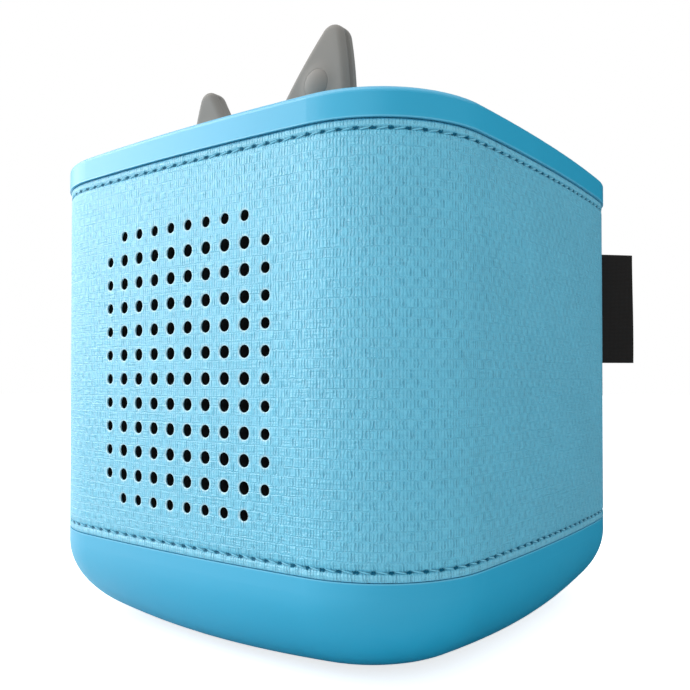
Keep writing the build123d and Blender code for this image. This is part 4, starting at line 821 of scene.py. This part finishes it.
class PLAYER_OT_ears(bpy.types.Operator):
    """Both silicone ears and the domes of their buttons"""

    bl_idname = "player.ears"
    bl_label = "Ears"

    def execute(self, context):
        silicone = moulded_silicone()
        for name, ear in EARS.items():
            points, normals = ear_outline(ear)
            button = Vector(ear["button"])
            ways = [atan2((p - button).y, (p - button).x) for p in points]

            # Both edges get smaller towards the foot, which fills the cap's slot
            rise = [min(1.0, max(0.0, p.y / EAR_FOOT_BLEND)) for p in points]
            face_edges, back_edges = (
                [EAR_FOOT_EDGE + (edge - EAR_FOOT_EDGE) * r * r * (3 - 2 * r) for r in rise]
                for edge in (EAR_FACE_EDGE, EAR_BACK_EDGE))

            def place(spot, depth):
                return (ear["side"] * spot.x * MM, (EAR_FRONT + depth) * MM, (CAP_TOP + spot.y) * MM)

            hole = BUTTON_RADIUS + BUTTON_GAP
            rings = []
            for share in FACE_SHARES:
                ring = []
                for point, normal, way, edge in zip(points, normals, ways, face_edges):
                    inner = button + Vector((cos(way), sin(way))) * hole
                    rim = point - normal * edge
                    spot = inner.lerp(rim, share)
                    away = (spot - button).length - hole
                    swell = EAR_SWELL * max(0.0, 1 - away / EAR_SWELL_WIDTH) ** 2
                    ring.append(place(spot, -swell + (BUTTON_LIP if share == 0 else 0.0)))
                rings.append(ring)
            for quarter in range(FACE_ROUND + 1):
                a = quarter / FACE_ROUND * pi / 2
                rings.append([place(p - n * edge * (1 - sin(a)), edge * (1 - cos(a)))
                              for p, n, edge in zip(points, normals, face_edges)])
            # A groove runs down both sides, behind the face
            steep = [min(1.0, max(0.0, (abs(n.x) - EAR_GROOVE_FROM) / (EAR_GROOVE_FULL - EAR_GROOVE_FROM)))
                     for n in normals]
            for inset, depth in EAR_GROOVE:
                rings.append([place(p - n * inset * r * share, depth)
                              for p, n, r, share in zip(points, normals, rise, steep)])
            for quarter in range(BACK_ROUND + 1):
                a = quarter / BACK_ROUND * pi / 2
                rings.append([place(p - n * edge * (1 - cos(a)), EAR_THICKNESS - edge * (1 - sin(a)))
                              for p, n, edge in zip(points, normals, back_edges)])
            for share in BACK_SHARES:
                rings.append([place((p - n * edge).lerp(button, share), EAR_THICKNESS)
                              for p, n, edge in zip(points, normals, back_edges)])
            skin = grow_rings(f"ear_{name}_silicone", rings, close_last=True)
            # The foot is open, for the button's core
            select_only(skin)
            bpy.ops.object.mode_set(mode="EDIT")
            bpy.ops.mesh.select_all(action="DESELECT")
            mesh = bmesh.from_edit_mesh(skin.data)
            foot = (CAP_TOP - EAR_ROOT) * MM
            low = [f for f in mesh.faces if all(v.co.z < foot + 0.01 * MM for v in f.verts)]
            bmesh.ops.delete(mesh, geom=low, context="FACES")
            bmesh.update_edit_mesh(skin.data)
            bpy.ops.object.mode_set(mode="OBJECT")
            add_wall(skin, EAR_WALL, -1.0)
            apply_modifiers(skin)
            smooth(skin, 50)
            paint(skin, silicone)
            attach(skin, "player")
            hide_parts(f"ear_{name}_skin")

            turns = [2 * pi * i / BUTTON_PARTS for i in range(BUTTON_PARTS)]
            dome = [[place(button + Vector((cos(a), sin(a))) * radius, depth) for a in turns]
                    for radius, depth in DOME]
            cap = grow_rings(f"ear_{name}_dome", dome, close_first=True, close_last=True)
            smooth(cap, 50)
            paint(cap, silicone)
            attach(cap, f"ear_{name}_press")
            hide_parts(f"ear_{name}_button")
        return {"FINISHED"}


class PLAYER_OT_label(bpy.types.Operator):
    """Woven ribbon label, folded and sewn into the back corner"""

    bl_idname = "player.label"
    bl_label = "Label"

    def execute(self, context):
        low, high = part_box("label_tab")
        reach = hypot(*around(SEAM_AT)) + LABEL_FREE
        inside = reach - LABEL_LENGTH
        bottom, top = low[2] / MM, high[2] / MM
        bend = reach - LABEL_HALF_GAP - LABEL_MARGIN
        route = [(inside + (bend - inside) * i / LABEL_PARTS, LABEL_HALF_GAP) for i in range(LABEL_PARTS + 1)]
        route += [(bend + LABEL_HALF_GAP * sin(a), LABEL_HALF_GAP * cos(a))
                  for a in (pi * i / LABEL_FOLD_PARTS for i in range(1, LABEL_FOLD_PARTS))]
        route += [(run, -aside) for run, aside in reversed(route[:LABEL_PARTS + 1])]
        tall = top - bottom - 2 * LABEL_MARGIN
        levels = [bottom + LABEL_MARGIN + tall * i / LABEL_ROWS for i in range(LABEL_ROWS + 1)]
        mesh = bmesh.new()
        uv = mesh.loops.layers.uv.new("cloth")
        lengths = [0.0]
        for before, after in zip(route, route[1:]):
            lengths.append(lengths[-1] + hypot(after[0] - before[0], after[1] - before[1]))
        grid = []
        for run, aside in route:
            line = []
            for z in levels:
                free = max(0.0, (run - reach + LABEL_FREE) / LABEL_FREE)
                wave = sin((z - bottom) / (top - bottom) * LABEL_WAVE + LABEL_PHASE)
                sway = LABEL_SWAY * free**2 * wave
                x = ((run + aside + sway) / sqrt(2)) * MM
                y = ((run - aside - sway) / sqrt(2)) * MM
                line.append(mesh.verts.new((x, y, z * MM)))
            grid.append(line)
        for i in range(len(route) - 1):
            for j in range(len(levels) - 1):
                corners = ((i, j), (i, j + 1), (i + 1, j + 1), (i + 1, j))
                made = mesh.faces.new([grid[a][b] for a, b in corners])
                for loop, (a, b) in zip(made.loops, corners):
                    loop[uv].uv = (lengths[a] / CLOTH_UNIT, levels[b] / CLOTH_UNIT)
                made.smooth = True
        obj = finish_mesh("label_ribbon", mesh)
        add_wall(obj, LABEL_THICKNESS, 0.0)
        round_edges(obj, 0.1, 2)
        apply_modifiers(obj)
        smooth(obj, 50)
        paint(obj, woven_ribbon())
        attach(obj, "player")
        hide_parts("label_tab")
        return {"FINISHED"}


def rounded_square(half_x, half_y, corner, middle_y):
    """Points round a rectangle with round corners, seen from its middle."""
    points = []
    centres = [Vector((x * (half_x - corner), middle_y + y * (half_y - corner)))
               for x, y in ((1, 1), (-1, 1), (-1, -1), (1, -1))]
    for k, centre in enumerate(centres):
        points += [centre + corner * Vector((cos(a), sin(a)))
                   for a in (pi / 2 * (k + i / PAD_CORNER_PARTS) for i in range(PAD_CORNER_PARTS + 1))]
        side = centres[(k + 1) % 4] - centre
        points += [points[-1] + side * i / PAD_SIDE_PARTS for i in range(1, PAD_SIDE_PARTS)]
    return points


class PLAYER_OT_pad(bpy.types.Operator):
    """Soft pad on the cap, with a round place for a figure"""

    bl_idname = "player.pad"
    bl_label = "Top pad"

    def execute(self, context):
        low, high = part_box("top_pad")
        half_x, half_y = high[0] / MM, (high[1] - low[1]) / 2 / MM
        middle, top, bottom = (high[1] + low[1]) / 2 / MM, high[2] / MM, low[2] / MM
        spot = Vector((0, FIGURE_PLACE_Y))
        outer = rounded_square(half_x, half_y, PAD_CORNER, middle)
        ways = [atan2((p - spot).y, (p - spot).x) for p in outer]

        def circle(radius, z):
            return [((spot.x + radius * cos(w)) * MM, (spot.y + radius * sin(w)) * MM, z * MM)
                    for w in ways]

        def edge(inset, z):
            inner = rounded_square(half_x - inset, half_y - inset, PAD_CORNER - inset, middle)
            return [(p.x * MM, p.y * MM, z * MM) for p in inner]

        rings = [circle(FIGURE_PLACE_RADIUS + out, top - deep) for out, deep in DISH]
        rings += [edge(inset, top - deep) for inset, deep in PAD_EDGE]
        rings += [edge(0.0, bottom), edge(1.0, bottom), circle(5.0, bottom)]
        obj = grow_rings("pad_rubber_sheet", rings, close_first=True, close_last=True)
        select_none()
        bpy.ops.mesh.primitive_cylinder_add(vertices=48, radius=LIGHT_HOLE_RADIUS * MM, depth=0.01,
                                            location=(0, LIGHT_HOLE_Y * MM, top * MM))
        cutter = context.object
        cut = obj.modifiers.new("light", "BOOLEAN")
        cut.object = cutter
        cut.operation = "DIFFERENCE"
        cut.solver = "EXACT"
        apply_modifiers(obj)
        bpy.data.objects.remove(cutter)
        smooth(obj, 40)
        # Thermoplastic rubber, moulded: mid grey and matt, with a fine grain that hides finger marks
        paint(obj, plain_finish("rubber_pad_moulded", "7F807E", "8E8F8C", 0.25, 0.05, Roughness=0.75))
        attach(obj, "player")
        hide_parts("top_pad")
        return {"FINISHED"}


class PLAYER_OT_feet(bpy.types.Operator):
    """Four rubber feet with rounded edges, pressed into the base"""

    bl_idname = "player.feet"
    bl_label = "Feet"

    def execute(self, context):
        low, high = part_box("rubber_feet")
        select_none()
        discs = []
        for side in (-1, 1):
            for end in (-1, 1):
                bpy.ops.mesh.primitive_cylinder_add(
                    vertices=64, radius=FOOT_RADIUS * MM, depth=high[2] - low[2],
                    location=(side * (high[0] - FOOT_RADIUS * MM), end * (high[1] - FOOT_RADIUS * MM),
                              (low[2] + high[2]) / 2))
                discs.append(context.object)
        for disc in discs:
            disc.select_set(True)
        context.view_layer.objects.active = discs[0]
        bpy.ops.object.join()
        obj = context.object
        obj.name = obj.data.name = "feet_rubber_discs"
        bpy.ops.object.transform_apply(location=True, rotation=True, scale=True)
        round_edges(obj, FOOT_ROUND, 4)
        apply_modifiers(obj)
        smooth(obj, 40)
        # Thermoplastic rubber, moulded: dark grey and dull, with a fine dust-like grain
        paint(obj, plain_finish("rubber_feet_discs", "2B2C2D", "3A3B3C", 0.3, 0.03, Roughness=0.8))
        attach(obj, "player")
        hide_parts("rubber_feet")
        return {"FINISHED"}


class PLAYER_OT_finishes(bpy.types.Operator):
    """Finishes of the frame's own pieces"""

    bl_idname = "player.finishes"
    bl_label = "Frame finishes"

    def execute(self, context):
        finishes = frame_finishes()
        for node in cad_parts:
            obj = bpy.data.objects[node] if isinstance(node, str) else node
            for holder in obj.material_slots:
                name = holder.material.name.split(".")[0]
                if name in finishes:
                    holder.material = finishes[name]
        return {"FINISHED"}


class PLAYER_OT_stage(bpy.types.Operator):
    """Pale floor, room light, two softboxes, cards for the reflections, and the camera"""

    bl_idname = "player.stage"
    bl_label = "Stage"

    def execute(self, context):
        studio = context.scene.story_player_stage
        scene = context.scene
        select_none()
        bpy.ops.mesh.primitive_plane_add(size=6.0, location=(0, 0, FLOOR_LEVEL))
        ground = context.object
        ground.name = "floor"
        # Floor paint, rolled: pale and even, and white where the camera sees it lit
        material, shader, add = start_material("paint_floor_rolled", Base_Color=linear("EFEFEF"),
                                               Roughness=0.9, Specular_IOR_Level=0.0)
        path = add("LightPath")
        glow = add("Emission", {"Color": WHITE, "Strength": FLOOR_GLOW})
        dark = add("Emission", {"Color": BLACK, "Strength": 0.0})
        shown = add("Math", {0: path.outputs["Is Glossy Ray"], 1: FLOOR_GLOSSY_SHARE,
                             2: path.outputs["Is Camera Ray"]}, operation="MULTIPLY_ADD")
        seen = add("MixShader", {0: shown, 1: dark, 2: glow})
        both = add("AddShader", {0: shader, 1: seen})
        # Reflections see the floor darken towards the right, as if a black card lay there
        place = add("TexCoord")
        along = add("VectorMath", {0: place.outputs["Object"], 1: DARK_WAY}, operation="DOT_PRODUCT")
        shade = add("MapRange", {"Value": along, "From Min": DARK_FROM, "From Max": DARK_TO},
                    interpolation_type="SMOOTHSTEP")
        mirrored = add("Math", {0: shade, 1: path.outputs["Is Glossy Ray"]}, operation="MULTIPLY")
        surface = add("MixShader", {0: mirrored, 1: both, 2: dark})
        join_up(material, material.node_tree.nodes["Material Output"], Surface=surface)
        paint(ground, material)

        # The camera, mirrors and clear pieces see a white world, and the rest is lit by the room
        world = scene.world or bpy.data.worlds.new("studio")
        scene.world = world
        world.use_nodes = True
        world.node_tree.nodes.clear()
        add = partial(add_node, world)
        rays = add("LightPath")
        room = add("Background", {"Color": WHITE, "Strength": studio.ambient})
        white = add("Background", {"Color": WHITE, "Strength": 1.0})
        through = add("Math", {0: rays.outputs["Is Camera Ray"], 1: rays.outputs["Is Transmission Ray"]},
                      operation="MAXIMUM")
        clear = add("Math", {0: through, 1: rays.outputs["Is Glossy Ray"]}, operation="MAXIMUM")
        mixed = add("MixShader", {0: clear, 1: room, 2: white})
        add("OutputWorld", {"Surface": mixed})

        for name, power, size, way, distance in (
                ("key_softbox", studio.key_power, KEY_SIZE, KEY_WAY, KEY_DISTANCE),
                ("top_softbox", studio.top_power, TOP_SIZE, TOP_WAY, TOP_DISTANCE)):
            lamp = bpy.data.lights.new(name, "AREA")
            lamp.shape = "RECTANGLE"
            lamp.size = lamp.size_y = size
            lamp.energy = power
            softbox = bpy.data.objects.new(name, lamp)
            scene.collection.objects.link(softbox)
            softbox.location = STUDIO_MIDDLE + way * distance
            softbox.rotation_euler = way.to_track_quat("Z", "Y").to_euler()

        # A white card behind the key light, that only reflections see, gives the soft highlight
        select_none()
        bpy.ops.mesh.primitive_plane_add(size=CARD_SIZE, location=STUDIO_MIDDLE + KEY_WAY * CARD_DISTANCE,
                                         rotation=KEY_WAY.to_track_quat("Z", "Y").to_euler())
        white_card = context.object
        white_card.name = "white_card"
        paint(white_card, start_material(
            "paper_card_white", Base_Color=BLACK, Roughness=1.0, Specular_IOR_Level=0.0,
            Emission_Color=WHITE, Emission_Strength=studio.card_glow)[0])

        # Black cards behind and on the right, that only reflections see, keep that side's colour deep
        select_none()
        bpy.ops.mesh.primitive_plane_add(size=2.0, location=(0, 0, 0.0004))
        black_card = context.object
        black_card.name = "black_card"
        bpy.ops.object.mode_set(mode="EDIT")
        mesh = bmesh.from_edit_mesh(black_card.data)
        for vert in mesh.verts:
            vert.co.xy = BLACK_CORNERS[vert.co.x > 0, vert.co.y > 0]
        bmesh.ops.delete(mesh, geom=mesh.faces[:], context="FACES_ONLY")
        for part in list(mesh.edges) + list(mesh.verts):
            part.select = False
        for edge in mesh.edges:
            if all(v.co.y > 1.0 for v in edge.verts) or all(v.co.x > 0.5 for v in edge.verts):
                edge.select_set(True)
        bmesh.update_edit_mesh(black_card.data)
        bpy.ops.mesh.extrude_region_move(TRANSFORM_OT_translate={"value": (0.0, 0.0, BLACK_HEIGHT)})
        bpy.ops.object.mode_set(mode="OBJECT")
        paint(black_card, start_material("paper_card_black", Base_Color=BLACK, Roughness=1.0,
                                         Specular_IOR_Level=0.0)[0])
        for card in (white_card, black_card):
            for ray in ("camera", "diffuse", "transmission", "volume_scatter", "shadow"):
                setattr(card, "visible_" + ray, False)

        lens = bpy.data.cameras.new("camera")
        lens.lens = CAMERA_LENS
        lens.sensor_width = 36.0
        lens.shift_y = CAMERA_SHIFT
        lens.clip_start, lens.clip_end = 0.01, 50.0
        camera = bpy.data.objects.new("camera", lens)
        scene.collection.objects.link(camera)
        camera.location = CAMERA_PLACE
        camera.rotation_euler = [radians(turn) for turn in CAMERA_TURN]
        scene.camera = camera
        scene.view_settings.view_transform = "Standard"
        return {"FINISHED"}


class PLAYER_PT_panel(bpy.types.Panel):
    """The player's pieces and settings"""

    bl_label = "Story player"
    bl_space_type = "VIEW_3D"
    bl_region_type = "UI"
    bl_category = "Story player"

    def draw(self, context):
        for group in (context.scene.story_player_finish, context.scene.story_player_stage):
            for name in group.__annotations__:
                self.layout.prop(group, name)
        for operator in OPERATORS:
            self.layout.operator(operator.bl_idname)


OPERATORS = (PLAYER_OT_stage, PLAYER_OT_finishes, PLAYER_OT_stitches, PLAYER_OT_sleeve, PLAYER_OT_ears,
             PLAYER_OT_label, PLAYER_OT_pad, PLAYER_OT_feet)
CLASSES = (StoryPlayerFinish, StoryPlayerStage) + OPERATORS + (PLAYER_PT_panel,)


def register():
    """Register the classes and put their settings on the scene."""
    for item in CLASSES:
        bpy.utils.register_class(item)
    bpy.types.Scene.story_player_finish = bpy.props.PointerProperty(type=StoryPlayerFinish)
    bpy.types.Scene.story_player_stage = bpy.props.PointerProperty(type=StoryPlayerStage)


def unregister():
    """Take the settings off the scene and unregister the classes."""
    del bpy.types.Scene.story_player_stage
    del bpy.types.Scene.story_player_finish
    for item in reversed(CLASSES):
        bpy.utils.unregister_class(item)


def main():
    """Register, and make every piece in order."""
    register()
    for operator in OPERATORS:
        group, name = operator.bl_idname.split(".")
        getattr(getattr(bpy.ops, group), name)()


if __name__ == "__main__":
    main()
